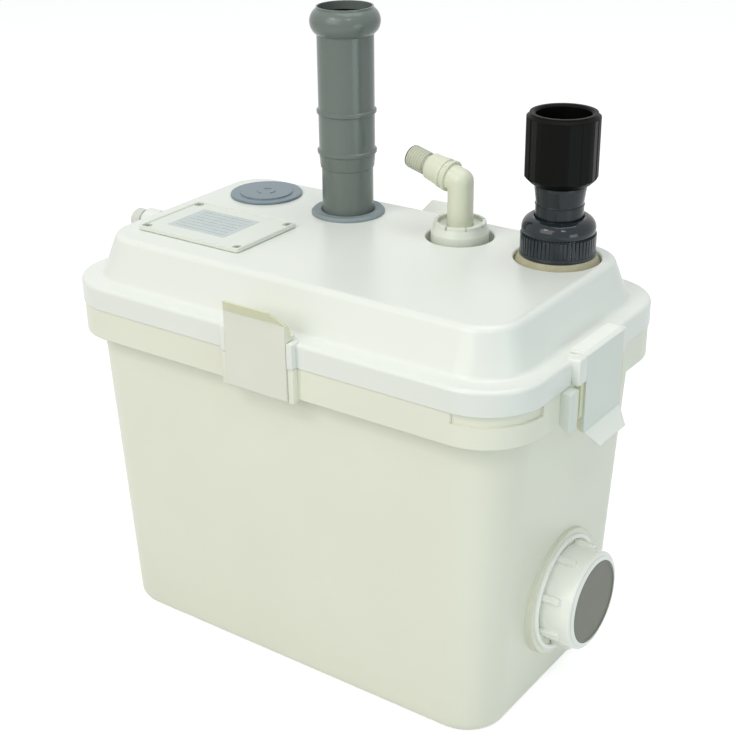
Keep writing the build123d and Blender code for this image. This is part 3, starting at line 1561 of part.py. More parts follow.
with BuildPart() as pump_screws:
    with BuildSketch(at(pump_x, pump_y, volute_top - pump_screw_depth)):
        with PolarLocations(pump_screw_circle, pump_screws_count, start_angle=45):
            Circle(pump_screw_r)
    extrude(amount=pump_screw_depth + pump_cover_t)
    with BuildSketch(at(pump_x, pump_y, cover_plate_top)):
        with PolarLocations(pump_screw_circle, pump_screws_count, start_angle=45):
            RegularPolygon(pump_screw_head_r, 6)
    extrude(amount=pump_screw_head_t)
save(pump_screws, "pump_screws")

running_r = shaft_r + running_gap
shaft_seal = tube((pump_x, pump_y), volute_top, volute_top + shaft_seal_t, shaft_seal_r, running_r)
save(shaft_seal, "shaft_seal")

lower_bearing = tube(
    (pump_x, pump_y), lower_bearing_low, lower_bearing_low + bearing_h, bearing_r, running_r,
)
save(lower_bearing, "lower_bearing")

stator_low = cover_plate_top + stator_rise
stator_high = stator_low + stator_height
motor_top = stator_high + motor_head
upper_bearing_top = motor_top - upper_bearing_drop
upper_bearing_low = upper_bearing_top - bearing_h
upper_bearing = tube((pump_x, pump_y), upper_bearing_low, upper_bearing_top, bearing_r, running_r)
save(upper_bearing, "upper_bearing")

impeller_r = chamber_r - impeller_gap
impeller_low = chamber_low + impeller_lift
vane_start = impeller_hub_r - vane_root
with BuildPart() as impeller:
    with BuildSketch(at(pump_x, pump_y, impeller_low)):
        Circle(impeller_hub_r)
    extrude(amount=impeller_vane_h + impeller_plate_t)
    with BuildSketch(at(pump_x, pump_y, impeller_low + impeller_vane_h)):
        Circle(impeller_r)
    extrude(amount=impeller_plate_t)
    for turn in range(impeller_vanes):
        spin = 360 * turn / impeller_vanes
        with BuildSketch(at(pump_x, pump_y, impeller_low).rotated((0, 0, spin))):
            with BuildLine():
                outer_arc = ThreePointArc(
                    (vane_start, 0),
                    (impeller_r * 0.6, impeller_r * 0.2),
                    (impeller_r * 0.78, impeller_r * 0.6),
                )
                inner_arc = ThreePointArc(
                    (vane_start, -vane_t),
                    (impeller_r * 0.6 + vane_t * 0.6, impeller_r * 0.2 - vane_t * 0.8),
                    (impeller_r * 0.78 + vane_t * 0.7, impeller_r * 0.6 - vane_t * 0.4),
                )
                Line(outer_arc @ 0, inner_arc @ 0)
                Line(outer_arc @ 1, inner_arc @ 1)
            make_face()
        extrude(amount=impeller_vane_h)
    with BuildSketch(at(pump_x, pump_y, impeller_low)):
        Circle(shaft_r)
    extrude(amount=impeller_vane_h + impeller_plate_t, mode=Mode.SUBTRACT)
save(impeller, "impeller")

with BuildPart() as pump_shaft:
    with BuildSketch(at(pump_x, pump_y, impeller_low)):
        Circle(shaft_r)
    extrude(amount=upper_bearing_top + shaft_end - impeller_low)
    chamfer(pump_shaft.faces().sort_by(Axis.Z)[-1].edges(), edge_break)
save(pump_shaft, "pump_shaft")

motor_rotor = tube((pump_x, pump_y), stator_low, stator_high, stator_bore_r - air_gap, shaft_r)
save(motor_rotor, "motor_rotor")

can_r = motor_r - motor_wall
motor_stator = tube((pump_x, pump_y), stator_low, stator_high, can_r, stator_bore_r)
save(motor_stator, "motor_stator")

with BuildPart() as stator_windings:
    for winding_low in (stator_low - winding_h, stator_high):
        with BuildSketch(at(pump_x, pump_y, winding_low)):
            Circle(can_r - winding_gap)
            Circle(can_r - winding_gap - winding_wall, mode=Mode.SUBTRACT)
        extrude(amount=winding_h)
save(stator_windings, "stator_windings")

motor_housing = tube((pump_x, pump_y), cover_plate_top, motor_top, motor_r, can_r)
save(motor_housing, "motor_housing")

lip_low = motor_top - motor_cap_lip
cap_inside = motor_top + motor_cap_h - motor_cap_t
with BuildPart() as motor_cap:
    with BuildSketch(at(pump_x, pump_y, motor_top)):
        Circle(motor_r)
    extrude(amount=motor_cap_h)
    fillet(motor_cap.faces().sort_by(Axis.Z)[-1].edges(), motor_cap_round)
    with BuildSketch(at(pump_x, pump_y, lip_low)):
        Circle(can_r)
    extrude(amount=motor_cap_lip)
    with BuildSketch(at(pump_x, pump_y, lip_low)):
        Circle(can_r - motor_wall)
    extrude(amount=cap_inside - lip_low, mode=Mode.SUBTRACT)
    with BuildSketch(at(pump_x, pump_y, upper_bearing_low)):
        Circle(boss_r)
    extrude(amount=cap_inside - upper_bearing_low)
    with BuildSketch(at(pump_x, pump_y, upper_bearing_low)):
        Circle(bearing_r)
    extrude(amount=bearing_h, mode=Mode.SUBTRACT)
    with BuildSketch(at(pump_x, pump_y, upper_bearing_top)):
        Circle(shaft_hole_r)
    extrude(amount=2 * shaft_end, mode=Mode.SUBTRACT)
save(motor_cap, "motor_cap")
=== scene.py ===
"""Finishes, small moulded details, lamps and camera for a wastewater lifting station.

Metres. X runs right along the long front wall, Y to the back, Z up.
"""

import json
import math

import bmesh
import bpy
from bpy.props import FloatProperty, FloatVectorProperty, IntProperty, PointerProperty
from mathutils import Matrix, Vector

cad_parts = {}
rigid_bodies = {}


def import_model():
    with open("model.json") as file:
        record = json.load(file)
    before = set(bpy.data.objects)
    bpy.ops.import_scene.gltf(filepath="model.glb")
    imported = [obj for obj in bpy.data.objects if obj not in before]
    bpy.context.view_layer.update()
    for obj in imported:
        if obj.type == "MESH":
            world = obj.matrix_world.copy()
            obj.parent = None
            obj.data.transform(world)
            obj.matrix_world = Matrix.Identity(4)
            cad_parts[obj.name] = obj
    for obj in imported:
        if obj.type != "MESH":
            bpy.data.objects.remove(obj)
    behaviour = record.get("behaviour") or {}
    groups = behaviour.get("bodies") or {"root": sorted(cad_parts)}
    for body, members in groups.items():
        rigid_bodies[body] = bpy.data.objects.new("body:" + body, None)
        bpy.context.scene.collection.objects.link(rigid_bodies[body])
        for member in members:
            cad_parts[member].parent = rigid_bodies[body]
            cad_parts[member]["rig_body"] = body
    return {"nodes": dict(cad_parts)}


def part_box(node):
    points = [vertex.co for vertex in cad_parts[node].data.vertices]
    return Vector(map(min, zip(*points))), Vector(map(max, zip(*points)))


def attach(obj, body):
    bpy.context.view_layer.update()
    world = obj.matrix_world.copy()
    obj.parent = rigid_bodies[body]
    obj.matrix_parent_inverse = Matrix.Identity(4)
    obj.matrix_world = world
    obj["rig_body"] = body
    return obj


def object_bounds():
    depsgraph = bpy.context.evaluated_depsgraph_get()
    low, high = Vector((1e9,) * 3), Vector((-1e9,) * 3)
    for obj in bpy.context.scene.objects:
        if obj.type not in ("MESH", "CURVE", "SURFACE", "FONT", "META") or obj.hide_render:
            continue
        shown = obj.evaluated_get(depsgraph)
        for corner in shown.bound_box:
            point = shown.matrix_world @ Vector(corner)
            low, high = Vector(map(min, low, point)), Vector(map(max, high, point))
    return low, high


bl_info = {
    "name": "Wastewater lifting station",
    "version": (1, 0, 0),
    "blender": (4, 5, 0),
    "location": "View3D > Sidebar > Lifting station",
    "description": "Moulded finishes and small details for a lifting station's solids",
    "category": "Object",
}

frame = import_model()
CAD_LOW, CAD_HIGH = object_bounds()

MM = 0.001
# A wave texture of scale 1 repeats after this share of a unit
WAVE_UNIT = math.tau / 20

# Faces of the solids that the small pieces sit on: out from the tank's middle, up from the floor
BAND = {"x": 199.0 * MM, "y": 117.0 * MM}
BAND_FOOT, BAND_TOP = 246.0 * MM, 270.0 * MM
FLANGE = {"x": 200.0 * MM, "y": 118.0 * MM}
FLANGE_TOP = 288.0 * MM
PAD_FACE, SIDE_INLET_HEIGHT = 184.0 * MM, 82.0 * MM

# How far a clip's plate stands off the lid's flange, and where its bent ends begin
CLIP_STAND_OFF = 3.0 * MM
LOW_TAB, HIGH_TAB = 232.3 * MM, 301.7 * MM
# Each clip's wall of the tank, as an axis and the side of the middle that it is on
CLIP_WALLS = {
    "clip_front": ("y", -1),
    "clip_back": ("y", 1),
    "clip_left": ("x", -1),
    "clip_right": ("x", 1),
}

# The hose arm's axis: where it leaves the elbow, and how far round and up it points
ARM_START = Vector((55.5, 53.9, 362.0)) * MM
ARM_HEADING, ARM_RISE = math.radians(173.0), math.radians(12.7)
# The flange on that arm, as distances along it and radii in millimetres
ARM_FLANGE = [
    (8.4, 9.2),
    (8.4, 11.5),
    (8.9, 12.0),
    (10.9, 12.0),
    (11.5, 11.5),
    (12.0, 10.4),
    (12.0, 9.2),
]
TAIL_START, TAIL_END, TAIL_RADIUS = 32.4 * MM, 41.0 * MM, 8.2 * MM

UNION_BARREL = 26.95 * MM
UNION_RIB_FOOT, UNION_RIB_TOP = 325.5 * MM, 338.5 * MM

# How deep a piece is let into the face that carries it
SUNK = 0.5 * MM
COVER_CORNER = 4.0 * MM
INK_THICK = 0.05 * MM
# A raised mark on the plug: across the ring, along it and up
PLUG_MARK = (1.6 * MM, 6.0 * MM, 0.7 * MM)
# What a face keeps back from another one beside it, so that the two never share a plane
SHY = 0.1 * MM
# Points nearer than this are one point, and an edge that turns less than this looks smooth
MERGE, SHARP = 0.001 * MM, math.radians(40)

# How moulded plastic varies: the ends of its drift in tone, then how much a fleck shows, its
# tone, how many are as wide as a cloud, and a shift that keeps flecks and clouds apart
TONE_LOW, TONE_HIGH = 0.98, 1.01
FLECK_SHARE, FLECK_TONE, FLECKS_ACROSS, FLECK_SHIFT = 0.2, 0.98, 9, 0.37
# The cosine between a rounded and a flat normal where an edge is full and where it ends, and
# how much of the edges' paler paint shows there: partly wear, partly painted highlight
EDGE_FULL, EDGE_NONE, EDGE_SHARE = 0.86, 0.995, 0.5
# How far the roughness drifts. The renderer's denoiser treats a gloss another way below a
# roughness of 0.274, and a drift across that draws faint lines, so a moulding's roughness
# stays on one side of it
GLOSS_DRIFT = 0.03
# Scuffs: millimetres between their lines, how far those are drawn out, how they lie, their
# width as a share of the pitch, and the part of a noise over which their patches fade in
SCUFF_PITCH, SCUFF_STRETCH, SCUFF_TURN = 22.0, 0.06, (0.4, 0.2, 0.9)
SCUFF_WIDTH, SCUFF_PATCHES = 0.02, (0.52, 0.7)


def linear(code):
    """Turns an sRGB hex colour into linear light."""
    parts = [int(code[i : i + 2], 16) / 255 for i in (0, 2, 4)]
    flat = [p / 12.92 if p <= 0.04045 else ((p + 0.055) / 1.055) ** 2.4 for p in parts]
    return (*flat, 1.0)


def tint(name, code, note):
    """A colour property whose default is an sRGB hex colour."""
    return FloatVectorProperty(
        name=name,
        description=note,
        subtype="COLOR",
        size=4,
        min=0.0,
        max=1.0,
        default=linear(code),
    )


def size(name, value, note):
    """A length property in metres."""
    return FloatProperty(name=name, description=note, unit="LENGTH", min=0.0, default=value)


def number(name, value, note):
    """A property for how many there are."""
    return IntProperty(name=name, description=note, min=1, default=value)


class StationColours(bpy.types.PropertyGroup):
    """Colours of the visible mouldings."""

    tank: tint("Tank", "E9EADA", "Natural ivory of the moulded tank")
    lid: tint("Lid", "E9ECE6", "Cool white of the lid")
    clip: tint("Clips", "E3E4D8", "Ivory of the snap clips")
    end_clip: tint("End clips", "DDE3DB", "Paler, cooler white of the end and back clips")
    # Painted shade with warm bounced light, on the clips' bent ends and beside them
    clip_painted_shade: tint("Clip sides", "DFDFBC", "Yellower ivory beside and inside the clips")
    cover: tint("Switch cover", "E3E8DF", "White of the switch cover")
    label: tint("Label", "C2CDCC", "Silvery film of the blank label")
    rule: tint("Label rules", "6C7578", "Grey of the thin printed rules")
    pipe: tint("Inlet pipe", "6D7671", "Greenish grey of the inlet pipe")
    plug: tint("Blanking plug", "70838D", "Blue grey of the blanking plug")
    grommet: tint("Grommet", "818C90", "Blue grey of the inlet grommet")
    elbow: tint("Hose elbow", "DEE0CB", "Cream of the hose elbow")
    tail: tint("Hose tail", "C1C4B1", "Greenish grey of the hose tail")
    nut: tint("Elbow nut", "DDE1D6", "White of the small union nut")
    side_nut: tint("Side nut", "F6F8F1", "Bright white of the side inlet's nut")
    union: tint("Union", "20292F", "Slate of the discharge union")
    union_tail: tint("Union tail", "171F25", "Darker slate of the waist above the union")
    coupling: tint("Coupling nut", "060705", "Near black of the coupling nut")
    cup_seal: tint("Cup seal", "A6A288", "Beige of the ring in the discharge cup")
    cap: tint("Side cap", "626455", "Warm grey of the side blanking cap")


class StationSizes(bpy.types.PropertyGroup):
    """Sizes of the details that are added to the solids."""

    rule_width: size("Rule width", 0.35 * MM, "Width of one printed rule on the label")
    rule_margin: size("Rule margin", 5.0 * MM, "From the label's edge to the rules")
    rule_rows: number("Rules", 7, "Rules on the label")
    bead_radius: size("Cover bead", 0.8 * MM, "Radius of the bead round the switch cover")
    mark_count: number("Plug marks", 3, "Raised marks on the plug")
    mark_radius: size("Plug mark circle", 6.5 * MM, "Radius of the circle of marks")
    clip_half: size("Half clip", 27.0 * MM, "From a clip's middle to its side edge")
    wall_thick: size("Clip wall", 1.5 * MM, "Thickness of a clip's side wall")
    cheek_width: size("Cheek width", 4.75 * MM, "Width of the rib beside a clip")
    cheek_gap: size("Cheek gap", 0.15 * MM, "Between a clip and the rib beside it")
    cheek_proud: size("Cheek height", 5.3 * MM, "How far that rib stands out")
    block_length: size("Block length", 11.2 * MM, "Length of the block beside an end clip")
    block_proud: size("Block height", 6.0 * MM, "How far that block stands out from the lid")
    guard_length: size("Guard length", 11.5 * MM, "Length of the guard beside an end clip")
    guard_gap: size("Guard gap", 12.5 * MM, "From the clip's edge to that guard")
    guard_proud: size("Guard height", 8.0 * MM, "How far that guard stands out from the band")
    guard_drop: size("Guard drop", 5.4 * MM, "How far that guard reaches below the band")
    tail_reach: size("Hose tail reach", 6.6 * MM, "How far the ringed sleeve goes past the tail")
    tail_ring: size("Hose tail ring", 0.6 * MM, "How far a ring of the sleeve stands out")
    tail_rings: number("Hose tail rings", 7, "Rings on the sleeve")
    lip_radius: size("Side lip circle", 42.8 * MM, "Radius of the lip round the side inlet")
    lip_half: size("Side lip", 2.0 * MM, "Half the thickness of that lip")
    crown_radius: size("Cap crown", 31.8 * MM, "Radius of the side cap's crown")
    crown_rise: size("Cap crown rise", 1.3 * MM, "How far the crown stands out from the nut")
    union_ribs: number("Union ribs", 56, "Grip ribs on the union nut")
    union_rib_width: size("Union rib width", 2.1 * MM, "Width of one grip rib")
    union_rib_rise: size("Union rib height", 0.15 * MM, "How far a grip rib stands out")


def add(tree, kind, inputs=None, **settings):
    """Adds one node. An input's value is a number, a colour or another node's output."""
    made = tree.nodes.new(kind)
    for name, value in settings.items():
        setattr(made, name, value)
    for name, value in (inputs or {}).items():
        socket = made.inputs[name]
        if isinstance(value, bpy.types.NodeSocket):
            tree.links.new(value, socket)
        else:
            socket.default_value = value
    return made


def per_mm(millimetres):
    """Texture scale at which one feature is that many millimetres across."""
    return 1.0 / (millimetres * MM)


def scaled(colour, factor):
    """The same colour, lighter or darker."""
    return (*[min(c * factor, 1.0) for c in colour[:3]], 1.0)


def surface(name, **sockets):
    """A material, its tree, its one Principled shader and the place on the object."""
    made = bpy.data.materials.new(name)
    made.use_nodes = True
    tree = made.node_tree
    tree.nodes.clear()
    shader = add(tree, "ShaderNodeBsdfPrincipled", sockets)
    add(tree, "ShaderNodeOutputMaterial", {"Surface": shader.outputs[0]})
    place = add(tree, "ShaderNodeTexCoord").outputs["Object"]
    return made, tree, shader, place


def noise(tree, place, millimetres, detail=2.0, stretch=None, shift=0.0):
    """Noise whose features are that many millimetres across, from 0 to 1."""
    if stretch or shift:
        place = add(
            tree,
            "ShaderNodeMapping",
            {"Vector": place, "Scale": stretch or (1, 1, 1), "Location": (shift, shift, shift)},
        ).outputs[0]
    values = {"Vector": place, "Scale": per_mm(millimetres), "Detail": detail}
    return add(tree, "ShaderNodeTexNoise", values).outputs[0]


def spread(tree, value, low, high, start=0.3, end=0.7):
    """Maps start to end onto low to high. The defaults take the middle of a noise."""
    values = {"Value": value, "From Min": start, "From Max": end, "To Min": low, "To Max": high}
    return add(tree, "ShaderNodeMapRange", values).outputs[0]


def mixed(tree, factor, first, second):
    """Mixes two colours."""
    values = {0: factor, 6: first, 7: second}
    return add(tree, "ShaderNodeMix", values, data_type="RGBA").outputs[2]


def soft_edges(tree, millimetres):
    """The normal of an edge rounded by that much, and a mask of where the edges are."""
    rounded = add(tree, "ShaderNodeBevel", {"Radius": millimetres * MM}, samples=6).outputs[0]
    flat = add(tree, "ShaderNodeNewGeometry").outputs["Normal"]
    both = {0: rounded, 1: flat}
    same = add(tree, "ShaderNodeVectorMath", both, operation="DOT_PRODUCT").outputs["Value"]
    return rounded, spread(tree, same, 1.0, 0.0, EDGE_FULL, EDGE_NONE)


def relief(tree, height, millimetres, normal):
    """A bump of that height over a normal."""
    values = {"Height": height, "Distance": millimetres * MM, "Normal": normal}
    return add(tree, "ShaderNodeBump", values).outputs[0]


def drive(tree, shader, colour, normal, gloss=None):
    """Links a colour, a normal and, where it isn't even, a roughness to the shader."""
    for name, value in (("Base Color", colour), ("Normal", normal), ("Roughness", gloss)):
        if value is not None:
            tree.links.new(value, shader.inputs[name])


def scratches(tree, place):
    """Thin, sparse scuff lines, 1 on a line and 0 between."""
    drawn_out = add(
        tree,
        "ShaderNodeMapping",
        {"Vector": place, "Rotation": SCUFF_TURN, "Scale": (1.0, SCUFF_STRETCH, 1.0)},
    ).outputs[0]
    lines = add(
        tree,
        "ShaderNodeTexVoronoi",
        {"Vector": drawn_out, "Scale": per_mm(SCUFF_PITCH)},
        feature="DISTANCE_TO_EDGE",
    ).outputs["Distance"]
    thin = spread(tree, lines, 1.0, 0.0, 0.0, SCUFF_WIDTH)
    patch = spread(tree, noise(tree, place, 4 * SCUFF_PITCH), 0.0, 1.0, *SCUFF_PATCHES)
    return add(tree, "ShaderNodeMath", {0: thin, 1: patch}, operation="MULTIPLY").outputs[0]


def two_ends(tree, place, low, high):
    """1 below the low height and above the high one, with a blend of a millimetre, else 0."""
    up = add(tree, "ShaderNodeSeparateXYZ", {0: place}).outputs["Z"]
    foot = spread(tree, up, 1.0, 0.0, low - 1.0 * MM, low)
    head = spread(tree, up, 0.0, 1.0, high, high + 1.0 * MM)
    return add(tree, "ShaderNodeMath", {0: foot, 1: head}, operation="MAXIMUM").outputs[0]


def moulded(
    name,
    colour,
    rough,
    grain,
    cloud,
    edge,
    edge_wear_and_highlight=1.06,
    scuffs=0.015,
    painted_ends=None,
    **sockets,
):
    """Injection moulded plastic: tone drifts over some centimetres, a spark-eroded grain in the
    surface, rounded edges painted faintly paler (partly wear and partly painted highlight), and a
    few fine scuffs that only change the gloss.

    grain is the pitch and the depth of the surface's pits in millimetres. A tool's own grain is
    a few times finer than it is drawn here, so that it shows. cloud is how many millimetres a
    drift of tone measures and edge the radius of the edges in millimetres. The argument after
    edge
    is how much paler the edges are painted: partly wear and partly a painted highlight. rough is
    the least roughness and scuffs what a scuff adds to it. The argument after scuffs is a low
    height, a high one and the colour painted below and above them: painted shade or painted
    highlight on a part's bent ends."""
    made, tree, shader, place = surface(name, **sockets)
    drift = noise(tree, place, cloud, detail=3.0)
    fleck = noise(tree, place, cloud / FLECKS_ACROSS, shift=FLECK_SHIFT)
    dark, pale = scaled(colour, TONE_LOW), scaled(colour, TONE_HIGH)
    body = mixed(tree, spread(tree, drift, 0.0, 1.0), dark, pale)
    body = mixed(tree, spread(tree, fleck, 0.0, FLECK_SHARE), body, scaled(colour, FLECK_TONE))
    # Painted shade or painted highlight on a part's bent ends, chosen by height
    if painted_ends:
        low, high, tone = painted_ends
        body = mixed(tree, two_ends(tree, place, low, high), body, tone)
    # Edges painted paler: partly wear, partly a painted highlight on the rounded edges
    rounded, edges = soft_edges(tree, edge)
    share = {0: edges, 1: EDGE_SHARE}
    edges = add(tree, "ShaderNodeMath", share, operation="MULTIPLY").outputs[0]
    body = mixed(tree, edges, body, scaled(colour, edge_wear_and_highlight))
    gloss = spread(tree, drift, rough, rough + GLOSS_DRIFT)
    if scuffs:
        worn = {0: scratches(tree, place), 1: scuffs, 2: gloss}
        gloss = add(tree, "ShaderNodeMath", worn, operation="MULTIPLY_ADD").outputs[0]
    pitch, depth = grain
    pits = noise(tree, place, pitch)
    drive(tree, shader, body, relief(tree, pits, depth, rounded), gloss)
    return made


def rubber(name, colour, rough=0.6):
    """Moulded elastomer: matt, with a fine dusty bloom and a soft pebble in the skin."""
    made, tree, shader, place = surface(name, IOR=1.5)
    bloom = noise(tree, place, 6.0, detail=4.0)
    body = mixed(tree, spread(tree, bloom, 0.0, 0.5), colour, scaled(colour, 1.35))
    rounded, _ = soft_edges(tree, 0.4)
    pebble = noise(tree, place, 0.5)
    gloss = spread(tree, bloom, rough, rough + 0.15)
    drive(tree, shader, body, relief(tree, pebble, 0.03, rounded), gloss)
    return made


def turned_metal(name, colour, rough, pitch):
    """Turned or drawn metal: fine rings across the upright axis break up the shine. pitch is
    the millimetres from ring to ring."""
    made, tree, shader, place = surface(name, Metallic=1.0)
    wide = 4.0
    rings = noise(tree, place, wide, detail=3.0, stretch=(1.0, 1.0, wide / pitch))
    haze = noise(tree, place, 9.0)
    body = mixed(tree, spread(tree, haze, 0.0, 1.0), scaled(colour, 0.9), colour)
    rounded, _ = soft_edges(tree, 0.25)
    gloss = spread(tree, rings, rough, rough + 0.16)
    drive(tree, shader, body, relief(tree, rings, 0.015, rounded), gloss)
    return made


def stacked_sheet(name, colour):
    """Laminated core steel: sheets half a millimetre thick, drawn one millimetre thick so that
    they show, with a blue grey scale on them."""
    made, tree, shader, place = surface(name, Metallic=0.85, Roughness=0.45)
    sheets = add(
        tree,
        "ShaderNodeTexWave",
        {"Vector": place, "Scale": per_mm(1.0) * WAVE_UNIT},
        wave_type="BANDS",
        bands_direction="Z",
    ).outputs["Fac"]
    scale = noise(tree, place, 12.0, detail=3.0)
    body = mixed(tree, spread(tree, scale, 0.0, 1.0), colour, scaled(colour, 0.7))
    body = mixed(tree, spread(tree, sheets, 0.4, 0.0, 0.0, 0.35), body, scaled(colour, 0.35))
    rounded, _ = soft_edges(tree, 0.2)
    drive(tree, shader, body, relief(tree, sheets, 0.05, rounded))
    return made


def wound_wire(name, colour):
    """Enamelled copper: wires half a millimetre thick, drawn one millimetre thick so that they
    show, laid round the coil and glossy with varnish."""
    made, tree, shader, place = surface(name, Metallic=0.9)
    wires = add(
        tree,
        "ShaderNodeTexWave",
        {"Vector": place, "Scale": per_mm(1.0) * WAVE_UNIT, "Distortion": 1.2, "Detail": 1.0},
        wave_type="BANDS",
        bands_direction="DIAGONAL",
    ).outputs["Fac"]
    varnish = noise(tree, place, 10.0, detail=3.0)
    body = mixed(tree, spread(tree, wires, 0.0, 1.0, 0.1, 0.6), scaled(colour, 0.4), colour)
    rounded, _ = soft_edges(tree, 0.4)
    gloss = spread(tree, varnish, 0.2, 0.4)
    drive(tree, shader, body, relief(tree, wires, 0.15, rounded), gloss)
    return made


def closed_foam(name, colour):
    """Closed-cell foam with a moulded skin: small dimples where cells lie under the skin."""
    made, tree, shader, place = surface(name, IOR=1.45)
    cells = add(
        tree, "ShaderNodeTexVoronoi", {"Vector": place, "Scale": per_mm(1.6)}
    ).outputs["Distance"]
    body = mixed(tree, spread(tree, cells, 0.0, 1.0, 0.1, 0.8), scaled(colour, 0.85), colour)
    rounded, _ = soft_edges(tree, 0.6)
    gloss = spread(tree, cells, 0.55, 0.75, 0.1, 0.8)
    drive(tree, shader, body, relief(tree, cells, 0.12, rounded), gloss)
    return made


def glass_laminate(name, colour):
    """Glass-cloth laminate under green lacquer: a faint square weave below a glossy coat."""
    made, tree, shader, place = surface(name, IOR=1.5)
    weave = []
    for axis in ("X", "Y"):
        wave = add(
            tree,
            "ShaderNodeTexWave",
            {"Vector": place, "Scale": per_mm(0.8) * WAVE_UNIT},
            wave_type="BANDS",
            bands_direction=axis,
        )
        weave.append(wave.outputs["Fac"])
    both = {0: weave[0], 1: weave[1]}
    cloth = add(tree, "ShaderNodeMath", both, operation="MULTIPLY").outputs[0]
    body = mixed(tree, cloth, scaled(colour, 0.8), scaled(colour, 1.15))
    rounded, _ = soft_edges(tree, 0.15)
    gloss = spread(tree, noise(tree, place, 5.0), 0.2, 0.35)
    drive(tree, shader, body, relief(tree, cloth, 0.02, rounded), gloss)
    return made


def printed_film(name, colour):
    """Polyester film: a silvery satin face with a slight orange peel from the glue below."""
    made, tree, shader, place = surface(name, IOR=1.55)
    peel = noise(tree, place, 1.4)
    haze = noise(tree, place, 14.0, detail=3.0)
    body = mixed(tree, spread(tree, haze, 0.0, 1.0), scaled(colour, 0.95), scaled(colour, 1.03))
    rounded, _ = soft_edges(tree, 0.15)
    gloss = spread(tree, haze, 0.22, 0.36)
    drive(tree, shader, body, relief(tree, peel, 0.012, rounded), gloss)
    return made


def coat(finish, *names):
    """Gives the named solids one finish."""
    for name in names:
        solid = frame["nodes"][name]
        if not solid.material_slots:
            solid.data.materials.append(finish)
        for place in solid.material_slots:
            place.material = finish


def geometry_tree(name, inputs):
    """A Geometry Nodes tree with named inputs, and the sockets that give their values."""
    tree = bpy.data.node_groups.new(name, "GeometryNodeTree")
    tree.interface.new_socket("Geometry", in_out="OUTPUT", socket_type="NodeSocketGeometry")
    for label, kind in inputs:
        tree.interface.new_socket(label, in_out="INPUT", socket_type=kind)
    return tree, add(tree, "NodeGroupInput").outputs


def moved_to(tree, geometry, centre):
    """The geometry with its middle at that place."""
    values = {"Geometry": geometry, "Translation": centre}
    return add(tree, "GeometryNodeTransform", values).outputs[0]


def close_tree(tree, geometry, material_socket):
    """Ends a tree: instances made real, then the finish."""
    real = add(tree, "GeometryNodeRealizeInstances", {"Geometry": geometry}).outputs[0]
    values = {"Geometry": real, "Material": material_socket}
    done = add(tree, "GeometryNodeSetMaterial", values).outputs[0]
    add(tree, "NodeGroupOutput", {"Geometry": done})


def grown(name, tree, body, slot, **inputs):
    """Runs a Geometry Nodes tree and keeps the result as a plain mesh on one body."""
    piece = bpy.data.objects.new(name, bpy.data.meshes.new(name + "_start"))
    bpy.context.scene.collection.objects.link(piece)
    made = piece.modifiers.new(tree.name, "NODES")
    made.node_group = tree
    for item in tree.interface.items_tree:
        label = item.name.replace(" ", "_").lower()
        if item.in_out == "INPUT" and label in inputs:
            made[item.identifier] = inputs[label]
    depsgraph = bpy.context.evaluated_depsgraph_get()
    mesh = bpy.data.meshes.new_from_object(piece.evaluated_get(depsgraph), depsgraph=depsgraph)
    mesh.name = name
    piece.modifiers.remove(made)
    piece.data = mesh
    if not mesh.polygons:
        raise RuntimeError(f"{name} came out empty")
    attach(piece, body)


def kept(name, mesh, body, finish):
    """Keeps an edited mesh as a piece on one body."""
    bmesh.ops.remove_doubles(mesh, verts=mesh.verts, dist=MERGE)
    bmesh.ops.recalc_face_normals(mesh, faces=mesh.faces)
    for face in mesh.faces:
        face.smooth = True
    for edge in mesh.edges:
        edge.smooth = edge.calc_face_angle(math.pi) < SHARP
    data = bpy.data.meshes.new(name)
    mesh.to_mesh(data)
    mesh.free()
    data.materials.append(finish)
    piece = bpy.data.objects.new(name, data)
    bpy.context.scene.collection.objects.link(piece)
    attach(piece, body)


def lay_prism(mesh, outline, low, high, place, edge):
    """Adds a prism with rounded edges. place turns (out, up, along) into x, y, z."""
    rings = [[mesh.verts.new(place(u, v, w)) for u, v in outline] for w in (low, high)]
    faces = [mesh.faces.new(ring) for ring in rings]
    for i in range(len(outline)):
        j = (i + 1) % len(outline)
        faces.append(mesh.faces.new((rings[0][i], rings[0][j], rings[1][j], rings[1][i])))
    edges = list({line for face in faces for line in face.edges})
    bmesh.ops.bevel(mesh, geom=edges, offset=edge, segments=3, profile=0.5, affect="EDGES")


def row_of_bars():
    """A row of like bars, each a given step from the last."""
    tree, values = geometry_tree(
        "Row of bars",
        [
            ("Count", "NodeSocketInt"),
            ("Start", "NodeSocketVector"),
            ("Step", "NodeSocketVector"),
            ("Bar", "NodeSocketVector"),
            ("Finish", "NodeSocketMaterial"),
        ],
    )
    line = add(
        tree,
        "GeometryNodeMeshLine",
        {"Count": values["Count"], "Start Location": values["Start"], "Offset": values["Step"]},
        mode="OFFSET",
    ).outputs[0]
    bar = add(tree, "GeometryNodeMeshCube", {"Size": values["Bar"]}).outputs[0]
    laid = add(tree, "GeometryNodeInstanceOnPoints", {"Points": line, "Instance": bar})
    close_tree(tree, laid.outputs[0], values["Finish"])
    return tree


